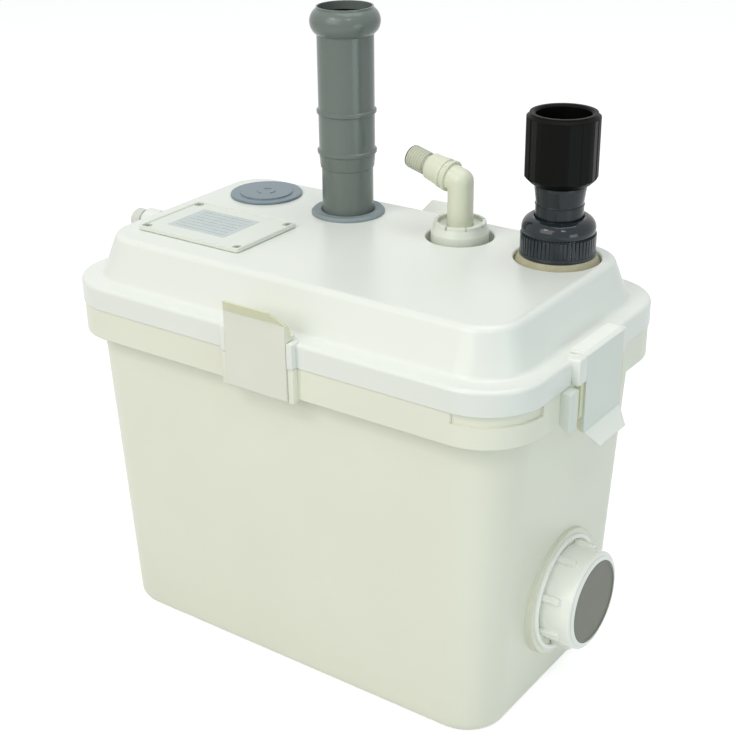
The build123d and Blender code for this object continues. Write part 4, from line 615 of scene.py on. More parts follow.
def ring_of_bars():
    """Like bars round a vertical axis, each with its long side along the ring."""
    tree, values = geometry_tree(
        "Ring of bars",
        [
            ("Count", "NodeSocketInt"),
            ("Centre", "NodeSocketVector"),
            ("Radius", "NodeSocketFloat"),
            ("Bar", "NodeSocketVector"),
            ("Finish", "NodeSocketMaterial"),
        ],
    )
    ring = add(
        tree,
        "GeometryNodeMeshCircle",
        {"Vertices": values["Count"], "Radius": values["Radius"]},
        fill_type="NONE",
    ).outputs[0]
    index = add(tree, "GeometryNodeInputIndex").outputs[0]
    count = {0: math.tau, 1: values["Count"]}
    step = add(tree, "ShaderNodeMath", count, operation="DIVIDE").outputs[0]
    angle = add(tree, "ShaderNodeMath", {0: index, 1: step}, operation="MULTIPLY").outputs[0]
    turn = add(tree, "ShaderNodeCombineXYZ", {"Z": angle}).outputs[0]
    bar = add(tree, "GeometryNodeMeshCube", {"Size": values["Bar"]}).outputs[0]
    laid = add(
        tree,
        "GeometryNodeInstanceOnPoints",
        {"Points": ring, "Instance": bar, "Rotation": turn},
    ).outputs[0]
    close_tree(tree, moved_to(tree, laid, values["Centre"]), values["Finish"])
    return tree


def bead_round_plate():
    """A half-round bead that follows the edge of a rounded rectangle."""
    tree, values = geometry_tree(
        "Bead round a plate",
        [
            ("Length", "NodeSocketFloat"),
            ("Width", "NodeSocketFloat"),
            ("Corner", "NodeSocketFloat"),
            ("Radius", "NodeSocketFloat"),
            ("Centre", "NodeSocketVector"),
            ("Finish", "NodeSocketMaterial"),
        ],
    )
    path = add(
        tree,
        "GeometryNodeCurvePrimitiveQuadrilateral",
        {"Width": values["Length"], "Height": values["Width"]},
    ).outputs[0]
    path = add(
        tree,
        "GeometryNodeFilletCurve",
        {"Curve": path, "Radius": values["Corner"], "Count": 8},
        mode="POLY",
    ).outputs[0]
    section = add(
        tree, "GeometryNodeCurvePrimitiveCircle", {"Resolution": 12, "Radius": values["Radius"]}
    ).outputs[0]
    swept = add(
        tree, "GeometryNodeCurveToMesh", {"Curve": path, "Profile Curve": section}
    ).outputs[0]
    close_tree(tree, moved_to(tree, swept, values["Centre"]), values["Finish"])
    return tree


def body_of(node):
    """The body that a solid rides on."""
    return frame["nodes"][node]["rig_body"]


def finish_of(node):
    """The finish that a solid has."""
    return frame["nodes"][node].material_slots[0].material


def turned(name, profile, place, node, finish, steps=96):
    """Keeps a shape turned from closed (along, radius) points, on the body of a node. place
    turns a distance along the axis and two across it into x, y, z."""
    mesh = bmesh.new()
    turns = [math.tau * i / steps for i in range(steps)]
    rings = [
        [mesh.verts.new(place(along, r * math.cos(t), r * math.sin(t))) for along, r in profile]
        for t in turns
    ]
    for i, ring in enumerate(rings):
        after = rings[(i + 1) % steps]
        for j in range(len(profile)):
            k = (j + 1) % len(profile)
            mesh.faces.new((ring[j], after[j], after[k], ring[k]))
    kept(name, mesh, body_of(node), finish)


def on_wall(axis, sign):
    """Turns (out, up, along) into x, y, z for one of the four walls."""
    if axis == "x":
        return lambda out, up, along: (sign * out, along, up)
    return lambda out, up, along: (along, sign * out, up)


def about_side_inlet(along, across, up):
    """Turns a distance along the side inlet's axis and two across it into x, y, z."""
    return (along, across, SIDE_INLET_HEIGHT + up)


def about_arm(along, across, up):
    """Turns a distance along the hose arm's axis and two across it into x, y, z."""
    level = Vector((math.cos(ARM_HEADING), math.sin(ARM_HEADING), 0.0))
    way = level * math.cos(ARM_RISE) + Vector((0.0, 0.0, math.sin(ARM_RISE)))
    side = Vector((-level.y, level.x, 0.0))
    return ARM_START + way * along + side * across + way.cross(side) * up


def colours():
    """The colours that the user set."""
    return bpy.context.scene.station_colours


def sizes():
    """The sizes that the user set."""
    return bpy.context.scene.station_sizes


class STATION_OT_tank(bpy.types.Operator):
    """Dress the tank and the gasket under the lid"""

    bl_idname = "station.tank"
    bl_label = "Tank"

    def execute(self, context):
        # Natural polypropylene from a textured tool: satin, waxy, light sinks a little way in
        tank = moulded(
            "Tank natural polypropylene, textured moulding",
            tuple(colours().tank),
            rough=0.36,
            grain=(0.9, 0.022),
            cloud=90.0,
            edge=1.2,
            IOR=1.49,
        )
        coat(tank, "tank")
        coat(rubber("Lid gasket EPDM rubber", linear("26282A")), "lid_gasket")
        return {"FINISHED"}


class STATION_OT_lid(bpy.types.Operator):
    """Dress the lid"""

    bl_idname = "station.lid"
    bl_label = "Lid"

    def execute(self, context):
        # ABS from a polished tool: a clear gloss over a slight waviness of the surface
        lid = moulded(
            "Lid ABS, polished moulding",
            tuple(colours().lid),
            rough=0.28,
            scuffs=0.0,
            grain=(16.0, 0.05),
            cloud=120.0,
            edge=1.0,
            IOR=1.53,
        )
        coat(lid, "lid")
        return {"FINISHED"}


def clip_wall_outline(axis):
    """A clip's side wall from its hook to its tab, as (out, up) points.

    An end clip's tab points down and a long side's up, so their outlines are turned over."""
    near, far = FLANGE[axis] + 0.4 * MM, FLANGE[axis] + CLIP_STAND_OFF + SHY
    deep = FLANGE[axis] - 1.4 * MM
    if axis == "x":
        heights = [288.4, 288.4, 231.6, 233.2, 239.5, 242.6, 245.2]
    else:
        heights = [245.6, 245.6, 302.4, 300.8, 294.5, 291.4, 288.8]
    outs = [near, far, far, far - 2.0 * MM, deep, deep, near]
    return [(out, up * MM) for out, up in zip(outs, heights)]


def add_clip_walls(thin, pale):
    """The two thin side walls of each clip."""
    half, thick = sizes().clip_half - SHY, sizes().wall_thick
    for name, (axis, sign) in CLIP_WALLS.items():
        outline, place = clip_wall_outline(axis), on_wall(axis, sign)
        mesh = bmesh.new()
        for low in (-half, half - thick):
            lay_prism(mesh, outline, low, low + thick, place, 0.3 * MM)
        # The walls take the clip sides' painted shade; the back clip's take the end clips' finish
        finish = pale if name == "clip_back" else thin
        kept(name + "_walls", mesh, body_of(name), finish)


def add_cheeks(thin):
    """Ribs on the tank's band that stand beside each clip."""
    now = sizes()
    start, drop = now.clip_half + now.cheek_gap, 2.0 * MM
    # The ribs beside the end clips take the clip sides' painted shade
    lots = {"x": ("tank_end_cheeks", thin), "y": ("tank_long_cheeks", finish_of("tank"))}
    for axis, (name, finish) in lots.items():
        back, front = BAND[axis] - SUNK, BAND[axis] + now.cheek_proud
        foot, top = BAND_FOOT - drop, BAND_TOP - now.cheek_gap
        outline = [(back, top), (front, top), (front, foot), (back, foot)]
        mesh = bmesh.new()
        for sign in (-1, 1):
            for low in (start, -start - now.cheek_width):
                high = low + now.cheek_width
                lay_prism(mesh, outline, low, high, on_wall(axis, sign), 0.5 * MM)
        kept(name, mesh, body_of("tank"), finish)


def add_lid_blocks():
    """Blocks on the lid's flange beside each clip, which reach back over its rounded edge."""
    now = sizes()
    start = now.clip_half + now.cheek_gap
    foot, top = BAND_TOP + SHY, FLANGE_TOP + 1.0 * MM
    mesh = bmesh.new()
    for axis, sign in CLIP_WALLS.values():
        face = FLANGE[axis]
        back, inner = face - SUNK, face - 4.0 * MM
        for side in (-1, 1):
            # Only one side of an end clip has the long block, turned about the middle
            long = axis == "x" and side == -sign
            reach = now.block_length if long else now.cheek_width
            front = face + (now.block_proud if long else now.cheek_proud)
            outline = [
                (inner, top),
                (front, top),
                (front, foot),
                (back, foot),
                (back, FLANGE_TOP - 3.0 * MM),
                (inner, FLANGE_TOP - 1.0 * MM),
            ]
            low, high = sorted((side * start, side * (start + reach)))
            soft = 1.2 * MM if long else 0.5 * MM
            lay_prism(mesh, outline, low, high, on_wall(axis, sign), soft)
    kept("lid_clip_blocks", mesh, body_of("lid"), finish_of("lid"))


def add_guards(finish):
    """Guards on the tank's band, one beside each end clip, with a sloping foot."""
    now = sizes()
    back, front = BAND["x"] - SUNK, BAND["x"] + now.guard_proud
    top, front_foot = BAND_TOP - 2 * SHY, BAND_FOOT - now.guard_drop
    outline = [(back, top), (front, top), (front, front_foot), (back, BAND_FOOT)]
    near = now.clip_half + now.guard_gap
    mesh = bmesh.new()
    for sign in (-1, 1):
        low, high = sorted((-sign * near, -sign * (near + now.guard_length)))
        lay_prism(mesh, outline, low, high, on_wall("x", sign), 1.0 * MM)
    kept("end_clip_guards", mesh, body_of("tank"), finish)


class STATION_OT_clips(bpy.types.Operator):
    """Dress the four snap clips, and add their side walls and what stands beside them"""

    bl_idname = "station.clips"
    bl_label = "Snap clips"

    def execute(self, context):
        # The tank's polypropylene again, in a smoother tool; its bent ends are painted yellower,
        # a painted shade with warm bounced light
        clip = moulded(
            "Clip polypropylene, satin moulding",
            tuple(colours().clip),
            rough=0.3,
            grain=(0.7, 0.012),
            cloud=30.0,
            edge=0.6,
            # The bent ends below and above these heights get the painted shade
            painted_ends=(LOW_TAB, HIGH_TAB, tuple(colours().clip_painted_shade)),
            IOR=1.49,
        )
        # The yellower ivory of the clip walls and of the ribs beside the end clips is painted
        # shade with warm bounced light
        thin = moulded(
            "Clip sides polypropylene, painted shade",
            tuple(colours().clip_painted_shade),
            rough=0.32,
            grain=(0.7, 0.012),
            cloud=30.0,
            edge=0.4,
            IOR=1.49,
        )
        # The end and back clips are paler and cooler, with the hook and the tab painted whitest,
        # a painted highlight
        end_clip = moulded(
            "End clip polypropylene, satin moulding",
            tuple(colours().end_clip),
            rough=0.28,
            grain=(0.7, 0.012),
            cloud=30.0,
            edge=0.6,
            scuffs=0.0,
            # The hook and the tab are painted the side nut's white, a painted highlight
            painted_ends=(LOW_TAB, FLANGE_TOP, tuple(colours().side_nut)),
            IOR=1.49,
        )
        coat(clip, "clip_front")
        coat(end_clip, "clip_back", "clip_left", "clip_right")
        add_clip_walls(thin, end_clip)
        add_cheeks(thin)
        add_lid_blocks()
        add_guards(end_clip)
        return {"FINISHED"}


class STATION_OT_cover(bpy.types.Operator):
    """Dress the switch cover, its screws and its blank label, and add the bead and the rules"""

    bl_idname = "station.cover"
    bl_label = "Switch cover"

    def execute(self, context):
        # ABS from a satin tool: a soft, even sheen, a shade darker than the lid
        cover = moulded(
            "Switch cover ABS, satin moulding",
            tuple(colours().cover),
            rough=0.28,
            grain=(1.0, 0.01),
            cloud=40.0,
            edge=0.5,
            IOR=1.53,
        )
        coat(cover, "switch_cover")
        coat(rubber("Cover gasket EPDM rubber", linear("303335")), "cover_gasket")
        screws = turned_metal("Cover screws zinc plated steel", linear("B4B5AA"), 0.45, 0.3)
        coat(screws, "cover_screws")
        coat(printed_film("Label polyester film", tuple(colours().label)), "blank_label")

        low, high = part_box("switch_cover")
        middle = (low + high) / 2
        radius = sizes().bead_radius
        grown(
            "cover_bead",
            bead_round_plate(),
            body_of("switch_cover"),
            "cover_abs",
            length=high.x - low.x - 2 * radius,
            width=high.y - low.y - 2 * radius,
            corner=COVER_CORNER,
            radius=radius,
            centre=(middle.x, middle.y, high.z - radius / 2),
            finish=cover,
        )

        # Empty ruled rows on the blank label
        ink = printed_film("Label rules screen-printed ink", tuple(colours().rule))
        low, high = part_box("blank_label")
        margin, rows = sizes().rule_margin, sizes().rule_rows
        step = (high.y - low.y - 2 * margin) / max(rows - 1, 1)
        grown(
            "label_rules",
            row_of_bars(),
            body_of("blank_label"),
            "label_film",
            count=rows,
            start=((low.x + high.x) / 2, low.y + margin, high.z),
            step=(0.0, step, 0.0),
            bar=(high.x - low.x - 2 * margin, sizes().rule_width, INK_THICK),
            finish=ink,
        )
        return {"FINISHED"}


class STATION_OT_plug(bpy.types.Operator):
    """Dress the blanking plug and add its raised moulding marks"""

    bl_idname = "station.plug"
    bl_label = "Blanking plug"

    def execute(self, context):
        # Blue grey polypropylene: satin, with edges painted paler, partly rubbed wear and partly
        # a painted highlight
        plug = moulded(
            "Plug polypropylene, satin moulding",
            tuple(colours().plug),
            rough=0.28,
            grain=(0.8, 0.012),
            cloud=18.0,
            edge=0.6,
            edge_wear_and_highlight=1.3,
            IOR=1.49,
        )
        coat(plug, "blanking_plug")
        coat(rubber("Plug ring EPDM rubber", linear("1E2022")), "plug_seal")
        low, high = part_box("blanking_plug")
        middle = (low + high) / 2
        grown(
            "plug_marks",
            ring_of_bars(),
            body_of("blanking_plug"),
            "plug_grey",
            count=sizes().mark_count,
            centre=(middle.x, middle.y, high.z),
            radius=sizes().mark_radius,
            bar=PLUG_MARK,
            finish=plug,
        )
        return {"FINISHED"}


class STATION_OT_inlet(bpy.types.Operator):
    """Dress the inlet pipe, its lip seal and its grommet"""

    bl_idname = "station.inlet"
    bl_label = "Inlet pipe"

    def execute(self, context):
        # Drainpipe polypropylene with a low satin shine; its edges, the seal bead's too, are
        # painted paler as a painted highlight
        pipe = moulded(
            "Inlet pipe drain polypropylene, moulded",
            tuple(colours().pipe),
            rough=0.22,
            grain=(1.2, 0.012),
            cloud=26.0,
            edge=0.6,
            edge_wear_and_highlight=1.25,
            **{"Specular IOR Level": 0.35},
        )
        coat(pipe, "inlet_pipe")
        coat(rubber("Pipe lip seal SBR rubber", linear("10143C"), 0.4), "pipe_lip_seal")
        grommet = rubber("Inlet grommet EPDM rubber", tuple(colours().grommet), 0.5)
        coat(grommet, "inlet_grommet")
        return {"FINISHED"}


def add_hose_sleeve(finish):
    """A ringed sleeve over the hose tail, and a dark ring at its mouth, painted shade where the
    far rim's shadow falls.
    """
    now = sizes()
    base, end = TAIL_RADIUS + SHY, TAIL_END + now.tail_reach
    inner, mouth = TAIL_RADIUS - 0.3 * MM, TAIL_RADIUS - 2.0 * MM
    pitch = (end - TAIL_START) / now.tail_rings
    sleeve = [(TAIL_START, inner)]
    for ring in range(now.tail_rings):
        foot = TAIL_START + ring * pitch
        sleeve.append((foot, base))
        # Each ring is flat over the middle two fifths of its length
        sleeve.append((foot + 0.3 * pitch, base + now.tail_ring))
        sleeve.append((foot + 0.7 * pitch, base + now.tail_ring))
    sleeve += [(end, base), (end, mouth), (TAIL_END, mouth), (TAIL_END, inner)]
    turned("hose_tail_sleeve", sleeve, about_arm, "hose_tail", finish, 64)
    near, far, lip_inner = end + 0.03 * MM, end + 0.9 * MM, mouth + 0.4 * MM
    lip = [
        (near, lip_inner),
        (near, base),
        (end + 0.5 * MM, base + 0.25 * MM),
        (far, base - 0.1 * MM),
        (far, lip_inner),
    ]
    # A dark ring of painted shade at the tail's mouth, where its far rim's shadow falls
    dark = rubber("Hose tail mouth painted shade", linear("55535C"), 0.5)
    turned("hose_tail_ring", lip, about_arm, "hose_tail", dark, 64)


class STATION_OT_hose_elbow(bpy.types.Operator):
    """Dress the hose elbow, its nut and washer, and add the arm's flange, sleeve and the dark
    ring of painted shade at its mouth
    """

    bl_idname = "station.hose_elbow"
    bl_label = "Hose elbow"

    def execute(self, context):
        # Acetal from a polished tool: creamy, dense and slippery, with long soft highlights
        elbow = moulded(
            "Elbow acetal, polished moulding",
            tuple(colours().elbow),
            rough=0.28,
            grain=(6.0, 0.02),
            cloud=20.0,
            edge=0.5,
            IOR=1.48,
        )
        coat(elbow, "hose_elbow", "arm_collar")
        flange = [(along * MM, radius * MM) for along, radius in ARM_FLANGE]
        turned("arm_flange", flange, about_arm, "hose_elbow", elbow, 64)
        # Nylon: a drier, greyer satin than the elbow's
        tail = moulded(
            "Hose tail nylon, satin moulding",
            tuple(colours().tail),
            rough=0.34,
            grain=(0.6, 0.012),
            cloud=9.0,
            edge=0.3,
            IOR=1.53,
        )
        coat(tail, "hose_tail")
        add_hose_sleeve(tail)
        # The small nut's polypropylene is whiter than the tank's, with a soft sheen
        nut = moulded(
            "Elbow nut polypropylene, satin moulding",
            tuple(colours().nut),
            rough=0.3,
            grain=(0.8, 0.01),
            cloud=20.0,
            edge=0.6,
            IOR=1.49,
        )
        coat(nut, "elbow_union_nut")
        coat(rubber("Elbow washer EPDM rubber", linear("2A2C2E")), "elbow_washer")
        return {"FINISHED"}


class STATION_OT_discharge(bpy.types.Operator):
    """Dress the discharge, its check valve and coupling nut, and add the union's ribs"""

    bl_idname = "station.discharge"
    bl_label = "Discharge and check valve"

    def execute(self, context):
        # Pressure pipe PVC: dark, dense and glossy, so lamps show as sharp spots on its
        # shoulders; its edges are painted paler, a painted highlight
        union = moulded(
            "Union PVC-U, gloss moulding",
            tuple(colours().union),
            rough=0.1,
            grain=(2.6, 0.03),
            cloud=16.0,
            edge=0.5,
            edge_wear_and_highlight=1.5,
            **{"Specular IOR Level": 0.4},
        )
        coat(union, "discharge_union_nut", "check_valve_body", "riser_pipe")
        # The waist is a darker slate, and its edges are painted paler, a painted highlight
        tail = moulded(
            "Union tail PVC-U, gloss moulding",
            tuple(colours().union_tail),
            rough=0.12,
            grain=(2.2, 0.03),
            cloud=14.0,
            edge=0.5,
            edge_wear_and_highlight=1.8,
            **{"Specular IOR Level": 0.35},
        )
        coat(tail, "discharge_tail")
        low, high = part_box("discharge_union_nut")
        middle = (low + high) / 2
        now = sizes()
        # The ribs reach 1.5 mm deep, through the notches of the nut into its wall
        deep = 1.5 * MM
        grown(
            "union_nut_ribs",
            ring_of_bars(),
            body_of("discharge_union_nut"),
            "union_pvc",
            count=now.union_ribs,
            centre=(middle.x, middle.y, (UNION_RIB_FOOT + UNION_RIB_TOP) / 2),
            radius=UNION_BARREL + now.union_rib_rise - deep / 2,
            bar=(deep, now.union_rib_width, UNION_RIB_TOP - UNION_RIB_FOOT),
            finish=union,
        )
        # Glass-filled polypropylene: nearly black, with a dry satin skin and edges painted a
        # paler brown, a painted highlight
        coupling = moulded(
            "Coupling nut glass-filled polypropylene, moulded",
            tuple(colours().coupling),
            rough=0.42,
            grain=(0.9, 0.03),
            cloud=12.0,
            edge=0.6,
            edge_wear_and_highlight=1.7,
            **{"Specular IOR Level": 0.09},
        )
        coat(coupling, "coupling_nut")
        cup_ring = rubber("Cup ring natural rubber", tuple(colours().cup_seal), 0.55)
        coat(cup_ring, "discharge_seal_ring")
        seal = rubber("Check valve NBR rubber", linear("191A1B"), 0.45)
        coat(seal, "coupling_gasket", "union_o_ring", "valve_seat_ring", "valve_flap")
        coat(turned_metal("Flap pin stainless steel", linear("B9BBBA"), 0.22, 0.2), "flap_pin")
        return {"FINISHED"}


def add_side_lip(finish):
    """A round lip on the tank's pad, about the side inlet."""
    half, radius = sizes().lip_half, sizes().lip_radius
    middle = PAD_FACE + 0.6 * MM
    rounds = [math.tau * i / 16 for i in range(16)]
    lip = [(middle + half * math.cos(t), radius + half * math.sin(t)) for t in rounds]
    turned("side_inlet_lip", lip, about_side_inlet, "tank", finish)


def add_cap_crown(face_finish, rim_finish):
    """The side cap's raised, slightly dished face, and a thin pale rim round it, a painted
    highlight line in the nut's white.
    """
    nut_face, cap_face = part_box("side_inlet_nut")[1].x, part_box("side_blanking_cap")[1].x
    top, wide = nut_face + sizes().crown_rise, sizes().crown_radius
    rise, sunk = 0.05 * MM, cap_face - 0.2 * MM
    crown = [
        (sunk, 0.0),
        (sunk, wide - 1.6 * MM),
        (nut_face + rise, wide - 1.5 * MM),
        (nut_face + rise, wide - 0.2 * MM),
        (nut_face + 0.3 * MM, wide),
        (top - 0.5 * MM, wide),
        (top - 0.15 * MM, wide - 0.15 * MM),
        (top, wide - 0.5 * MM),
        (top, wide - 2.0 * MM),
        (top - 0.4 * MM, wide - 2.4 * MM),
        (top - 0.4 * MM, 0.0),
    ]
    carrier, slot = "side_blanking_cap", "cap_grey"
    turned("side_cap_crown", crown, about_side_inlet, carrier, face_finish)
    # A pale ring round the crown, a painted highlight along the cap's edge
    inner, outer = wide + 0.02 * MM, wide + 3.0 * MM
    rim = [
        (nut_face + rise, inner),
        (nut_face + rise, outer),
        (nut_face + 4 * rise, outer),
        (top + SHY, wide + 0.7 * MM),
        (top + SHY, inner),
    ]
    turned("side_cap_rim", rim, about_side_inlet, carrier, rim_finish)


class STATION_OT_side_inlet(bpy.types.Operator):
    """Dress the side inlet, and add its lip, the cap's crown and the rim of painted highlight
    round it
    """

    bl_idname = "station.side_inlet"
    bl_label = "Side inlet"

    def execute(self, context):
        # ABS from a polished tool: the brightest white here, with a clear gloss
        nut = moulded(
            "Side nut ABS, gloss moulding",
            tuple(colours().side_nut),
            rough=0.18,
            grain=(9.0, 0.03),
            cloud=30.0,
            edge=0.8,
            IOR=1.53,
        )
        coat(nut, "side_inlet_nut", "side_spigot")
        # A coarse-grained tool leaves the grey cap matt; its edges are painted paler, partly
        # rubbed wear and partly a painted highlight
        cap = moulded(
            "Side cap polypropylene, grained moulding",
            tuple(colours().cap),
            rough=0.4,
            grain=(1.1, 0.05),
            cloud=10.0,
            edge=0.6,
            edge_wear_and_highlight=1.3,
            IOR=1.49,
        )
        coat(cap, "side_blanking_cap")
        add_side_lip(nut)
        add_cap_crown(cap, nut)
        coat(rubber("Side seal EPDM rubber", linear("222426")), "side_inlet_seal")
        return {"FINISHED"}


class STATION_OT_gland(bpy.types.Operator):
    """Dress the cable gland"""

    bl_idname = "station.gland"
    bl_label = "Cable gland"

    def execute(self, context):
        # Nylon: an even light grey satin
        gland = moulded(
            "Gland nylon, satin moulding",
            linear("D5D8D2"),
            rough=0.34,
            grain=(0.6, 0.01),
            cloud=8.0,
            edge=0.4,
            IOR=1.53,
        )
        coat(gland, "cable_gland", "gland_nut")
        coat(rubber("Gland seal NBR rubber", linear("1C1D1E")), "gland_seal")
        return {"FINISHED"}


class STATION_OT_float(bpy.types.Operator):
    """Dress the float switch and the control board above it"""

    bl_idname = "station.float_switch"
    bl_label = "Float switch"

    def execute(self, context):
        # Unpigmented polypropylene: waxy and a little grey
        stem = moulded(
            "Float stem polypropylene, moulded",
            linear("C9CCC6"),
            rough=0.34,
            grain=(0.8, 0.01),
            cloud=14.0,
            edge=0.4,
            IOR=1.49,
        )
        coat(stem, "float_stem", "float_stops")
        coat(closed_foam("Float closed-cell foam", linear("2D3032")), "float_body")
        coat(turned_metal("Magnet sintered ferrite", linear("3B3C3E"), 0.5, 0.6), "magnet_ring")
        coat(glass_laminate("Board glass laminate", linear("1E5A34")), "control_board")
        coat(turned_metal("Capacitor can aluminium", linear("B8BBBD"), 0.25, 0.3), "capacitor")
        # Polyester: a hard, even blue with crisp edges
        relay = moulded(
            "Relay polyester, moulded",
            linear("1C3C7A"),
            rough=0.32,
            grain=(0.5, 0.01),
            cloud=6.0,
            edge=0.3,
            IOR=1.55,
        )
        coat(relay, "relay")
        return {"FINISHED"}


class STATION_OT_pump(bpy.types.Operator):
    """Dress the pump: strainer, volute, cover, impeller, shaft and its screws"""

    bl_idname = "station.pump"
    bl_label = "Pump"

    def execute(self, context):
        # Glass fibre near the skin leaves a grey bloom and pale edges on the dark casing
        casing = moulded(
            "Pump casing glass-filled polypropylene, moulded",
            linear("2A2D30"),
            rough=0.4,
            grain=(0.8, 0.03),
            cloud=20.0,
            edge=0.6,
            edge_wear_and_highlight=1.6,
            IOR=1.49,
        )
        coat(casing, "volute_casing", "pump_cover", "suction_strainer")
        # Natural nylon: a tan, slightly cloudy satin
        impeller = moulded(
            "Impeller nylon, moulded",
            linear("B6B19A"),
            rough=0.38,
            grain=(0.8, 0.015),
            cloud=16.0,
            edge=0.4,
            IOR=1.53,
        )
        coat(impeller, "impeller")
        shaft = turned_metal("Pump shaft stainless steel", linear("BFC1C0"), 0.18, 0.2)
        coat(shaft, "pump_shaft")
        screws = turned_metal("Pump screws stainless steel", linear("A9ACAB"), 0.3, 0.3)
        coat(screws, "pump_screws")
        coat(rubber("Shaft seal NBR rubber", linear("17181A")), "shaft_seal")
        return {"FINISHED"}


class STATION_OT_motor(bpy.types.Operator):
    """Dress the motor: housing, cap, core, windings, rotor and bearings"""

    bl_idname = "station.motor"
    bl_label = "Motor"

    def execute(self, context):
        housing = turned_metal("Motor housing stainless steel", linear("A6AAAA"), 0.28, 0.5)
        coat(housing, "motor_housing", "motor_cap")
        core = stacked_sheet("Motor core laminated steel", linear("7B8086"))
        coat(core, "motor_stator", "motor_rotor")
        windings = wound_wire("Motor windings enamelled copper", linear("B0622C"))
        coat(windings, "stator_windings")
        bearing = turned_metal("Bearings chrome steel", linear("B4B6B6"), 0.16, 0.2)
        coat(bearing, "lower_bearing", "upper_bearing")
        return {"FINISHED"}


# The camera as it was fitted to the photograph: the picture's side in pixels, the place and
# the angles, the sensor's width in millimetres, and the focal length and axis in pixels
PHOTO_SIDE = 736
CAMERA_PLACE = Vector((0.587945, -0.814918, 0.678828))
CAMERA_AZIMUTH = math.radians(36.355)
CAMERA_ELEVATION = math.radians(25.177)
CAMERA_ROLL = math.radians(-1.083)
SENSOR = 36.0
FOCAL_PIXELS = 1432.166
AXIS_PIXEL = (347.388, 380.751)

FLOOR_RADIUS = 12.0
# How bright the floor glows where it is seen, on top of the light that falls on it
FLOOR_GLOW = 0.66
# The world's strength as light on the object, and where it is seen
SKY_LIGHT, SKY_SEEN = 0.38, 1.0


def camera():
    """The camera at the photograph's place, with the axis off the middle as it is there."""
    back = Vector(
        (
            math.sin(CAMERA_AZIMUTH) * math.cos(CAMERA_ELEVATION),
            -math.cos(CAMERA_AZIMUTH) * math.cos(CAMERA_ELEVATION),
            math.sin(CAMERA_ELEVATION),
        )
    )
    level = Vector((math.cos(CAMERA_AZIMUTH), math.sin(CAMERA_AZIMUTH), 0.0))
    rise = back.cross(level)
    right = level * math.cos(CAMERA_ROLL) + rise * math.sin(CAMERA_ROLL)
    upward = rise * math.cos(CAMERA_ROLL) - level * math.sin(CAMERA_ROLL)
    data = bpy.data.cameras.new("Camera")
    data.sensor_width = SENSOR
    data.lens = FOCAL_PIXELS * SENSOR / PHOTO_SIDE
    data.shift_x = (PHOTO_SIDE / 2 - AXIS_PIXEL[0]) / PHOTO_SIDE
    data.shift_y = (AXIS_PIXEL[1] - PHOTO_SIDE / 2) / PHOTO_SIDE
    eye = bpy.data.objects.new("Camera", data)
    bpy.context.scene.collection.objects.link(eye)
    facing = Matrix((right, upward, back)).transposed().to_4x4()
    eye.matrix_world = Matrix.Translation(CAMERA_PLACE) @ facing
    bpy.context.scene.camera = eye


def softbox(name, place, aim, side, watts, colour):
    """A square lamp that points at a place."""
    data = bpy.data.lights.new(name, "AREA")
    data.shape = "SQUARE"
    data.size = side
    data.energy = watts
    data.color = colour
    lamp = bpy.data.objects.new(name, data)
    lamp.location = place
    lamp.visible_camera = False
    lamp.rotation_euler = (Vector(aim) - Vector(place)).to_track_quat("-Z", "Y").to_euler()
    bpy.context.scene.collection.objects.link(lamp)


def seen_light(tree):
    """1 where the camera, a reflection or a view through glass meets the surface, else 0."""
    path = add(tree, "ShaderNodeLightPath").outputs
    rays = ("Is Camera Ray", "Is Glossy Ray", "Is Transmission Ray")
    seen = path[rays[0]]
    for ray in rays[1:]:
        both = {0: seen, 1: path[ray]}
        seen = add(tree, "ShaderNodeMath", both, operation="MAXIMUM").outputs[0]
    return seen


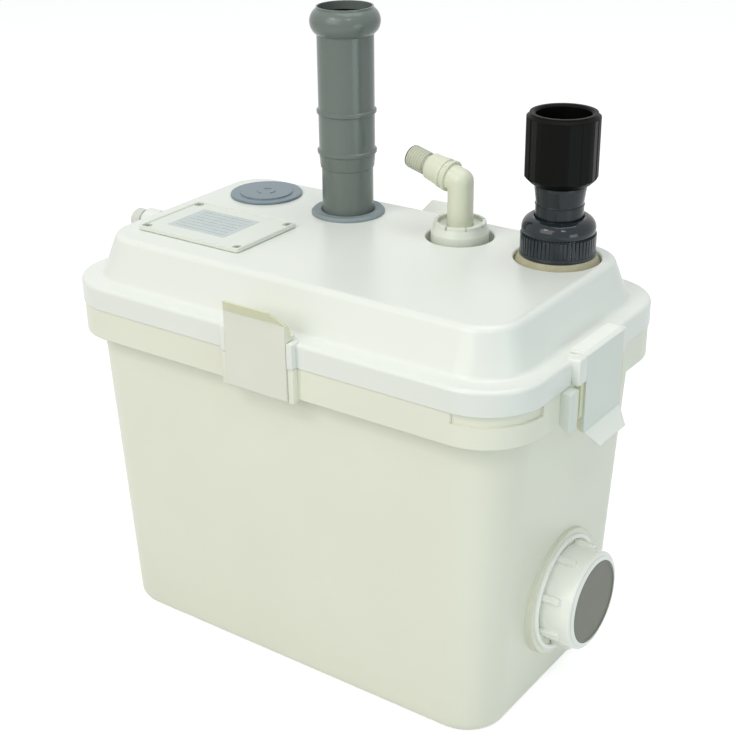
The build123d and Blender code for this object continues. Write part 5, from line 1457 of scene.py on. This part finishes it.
class STATION_OT_stage(bpy.types.Operator):
    """Build the pale floor, the soft lamps, the pale world and the camera"""

    bl_idname = "station.stage"
    bl_label = "Stage"

    def execute(self, context):
        scene = context.scene
        scene.view_settings.view_transform = "Standard"

        mesh = bmesh.new()
        bmesh.ops.create_circle(mesh, cap_ends=True, segments=96, radius=FLOOR_RADIUS)
        data = bpy.data.meshes.new("floor")
        mesh.to_mesh(data)
        mesh.free()
        floor = bpy.data.objects.new("floor", data)
        floor.location.z = CAD_LOW.z
        scene.collection.objects.link(floor)

        # Painted board: the glow that only the camera and reflections see makes it white
        paint = bpy.data.materials.new("Floor matt paint")
        paint.use_nodes = True
        tree = paint.node_tree
        tree.nodes.clear()
        diffuse = add(tree, "ShaderNodeBsdfDiffuse", {"Color": linear("DADCDC")}).outputs[0]
        strength = spread(tree, seen_light(tree), 0.0, FLOOR_GLOW, 0.0, 1.0)
        glow = add(tree, "ShaderNodeEmission", {"Strength": strength}).outputs[0]
        both = add(tree, "ShaderNodeAddShader", {0: diffuse, 1: glow}).outputs[0]
        add(tree, "ShaderNodeOutputMaterial", {"Surface": both})
        data.materials.append(paint)

        world = bpy.data.worlds.new("Studio")
        scene.world = world
        world.use_nodes = True
        tree = world.node_tree
        tree.nodes.clear()
        strength = spread(tree, seen_light(tree), SKY_LIGHT, SKY_SEEN, 0.0, 1.0)
        sky = add(tree, "ShaderNodeBackground", {"Color": (1, 1, 1, 1), "Strength": strength})
        add(tree, "ShaderNodeOutputWorld", {"Surface": sky.outputs[0]})

        # Each lamp's place and aim, its side in metres, its watts and its colour
        middle = (CAD_LOW + CAD_HIGH) / 2
        softbox("Key", (-0.3, -1.8, 1.5), middle, 1.5, 18.8, (1.0, 0.985, 0.91))
        softbox("Left window", (-0.52, -1.59, 2.2), middle, 0.4, 5.0, (1.0, 1.0, 0.97))
        softbox("Right window", (1.3, -1.05, 2.2), middle, 0.4, 4.6, (0.97, 1.0, 1.0))
        softbox("Fill", (1.5, -0.35, 0.3), (0.2, 0.0, 0.15), 0.6, 3.5, (0.76, 0.94, 1.0))
        softbox("Top", (0.1, 0.3, 2.0), middle, 1.2, 10.5, (0.93, 1.0, 0.99))
        camera()
        return {"FINISHED"}


OPERATORS = (
    STATION_OT_tank,
    STATION_OT_lid,
    STATION_OT_clips,
    STATION_OT_cover,
    STATION_OT_plug,
    STATION_OT_inlet,
    STATION_OT_hose_elbow,
    STATION_OT_discharge,
    STATION_OT_side_inlet,
    STATION_OT_gland,
    STATION_OT_float,
    STATION_OT_pump,
    STATION_OT_motor,
    STATION_OT_stage,
)


class STATION_PT_panel(bpy.types.Panel):
    """Lists the pieces, with their colours and sizes"""

    bl_idname = "STATION_PT_panel"
    bl_label = "Lifting station"
    bl_space_type = "VIEW_3D"
    bl_region_type = "UI"
    bl_category = "Lifting station"

    def draw(self, context):
        layout = self.layout
        for group in (colours(), sizes()):
            for name in group.__annotations__:
                layout.prop(group, name)
        for operator in OPERATORS:
            layout.operator(operator.bl_idname)


CLASSES = (StationColours, StationSizes, *OPERATORS, STATION_PT_panel)


def register():
    for item in CLASSES:
        bpy.utils.register_class(item)
    bpy.types.Scene.station_colours = PointerProperty(type=StationColours)
    bpy.types.Scene.station_sizes = PointerProperty(type=StationSizes)


def unregister():
    del bpy.types.Scene.station_sizes
    del bpy.types.Scene.station_colours
    for item in reversed(CLASSES):
        bpy.utils.unregister_class(item)


def main():
    register()
    for operator in OPERATORS:
        group, name = operator.bl_idname.split(".")
        getattr(getattr(bpy.ops, group), name)()


if __name__ == "__main__":
    main()
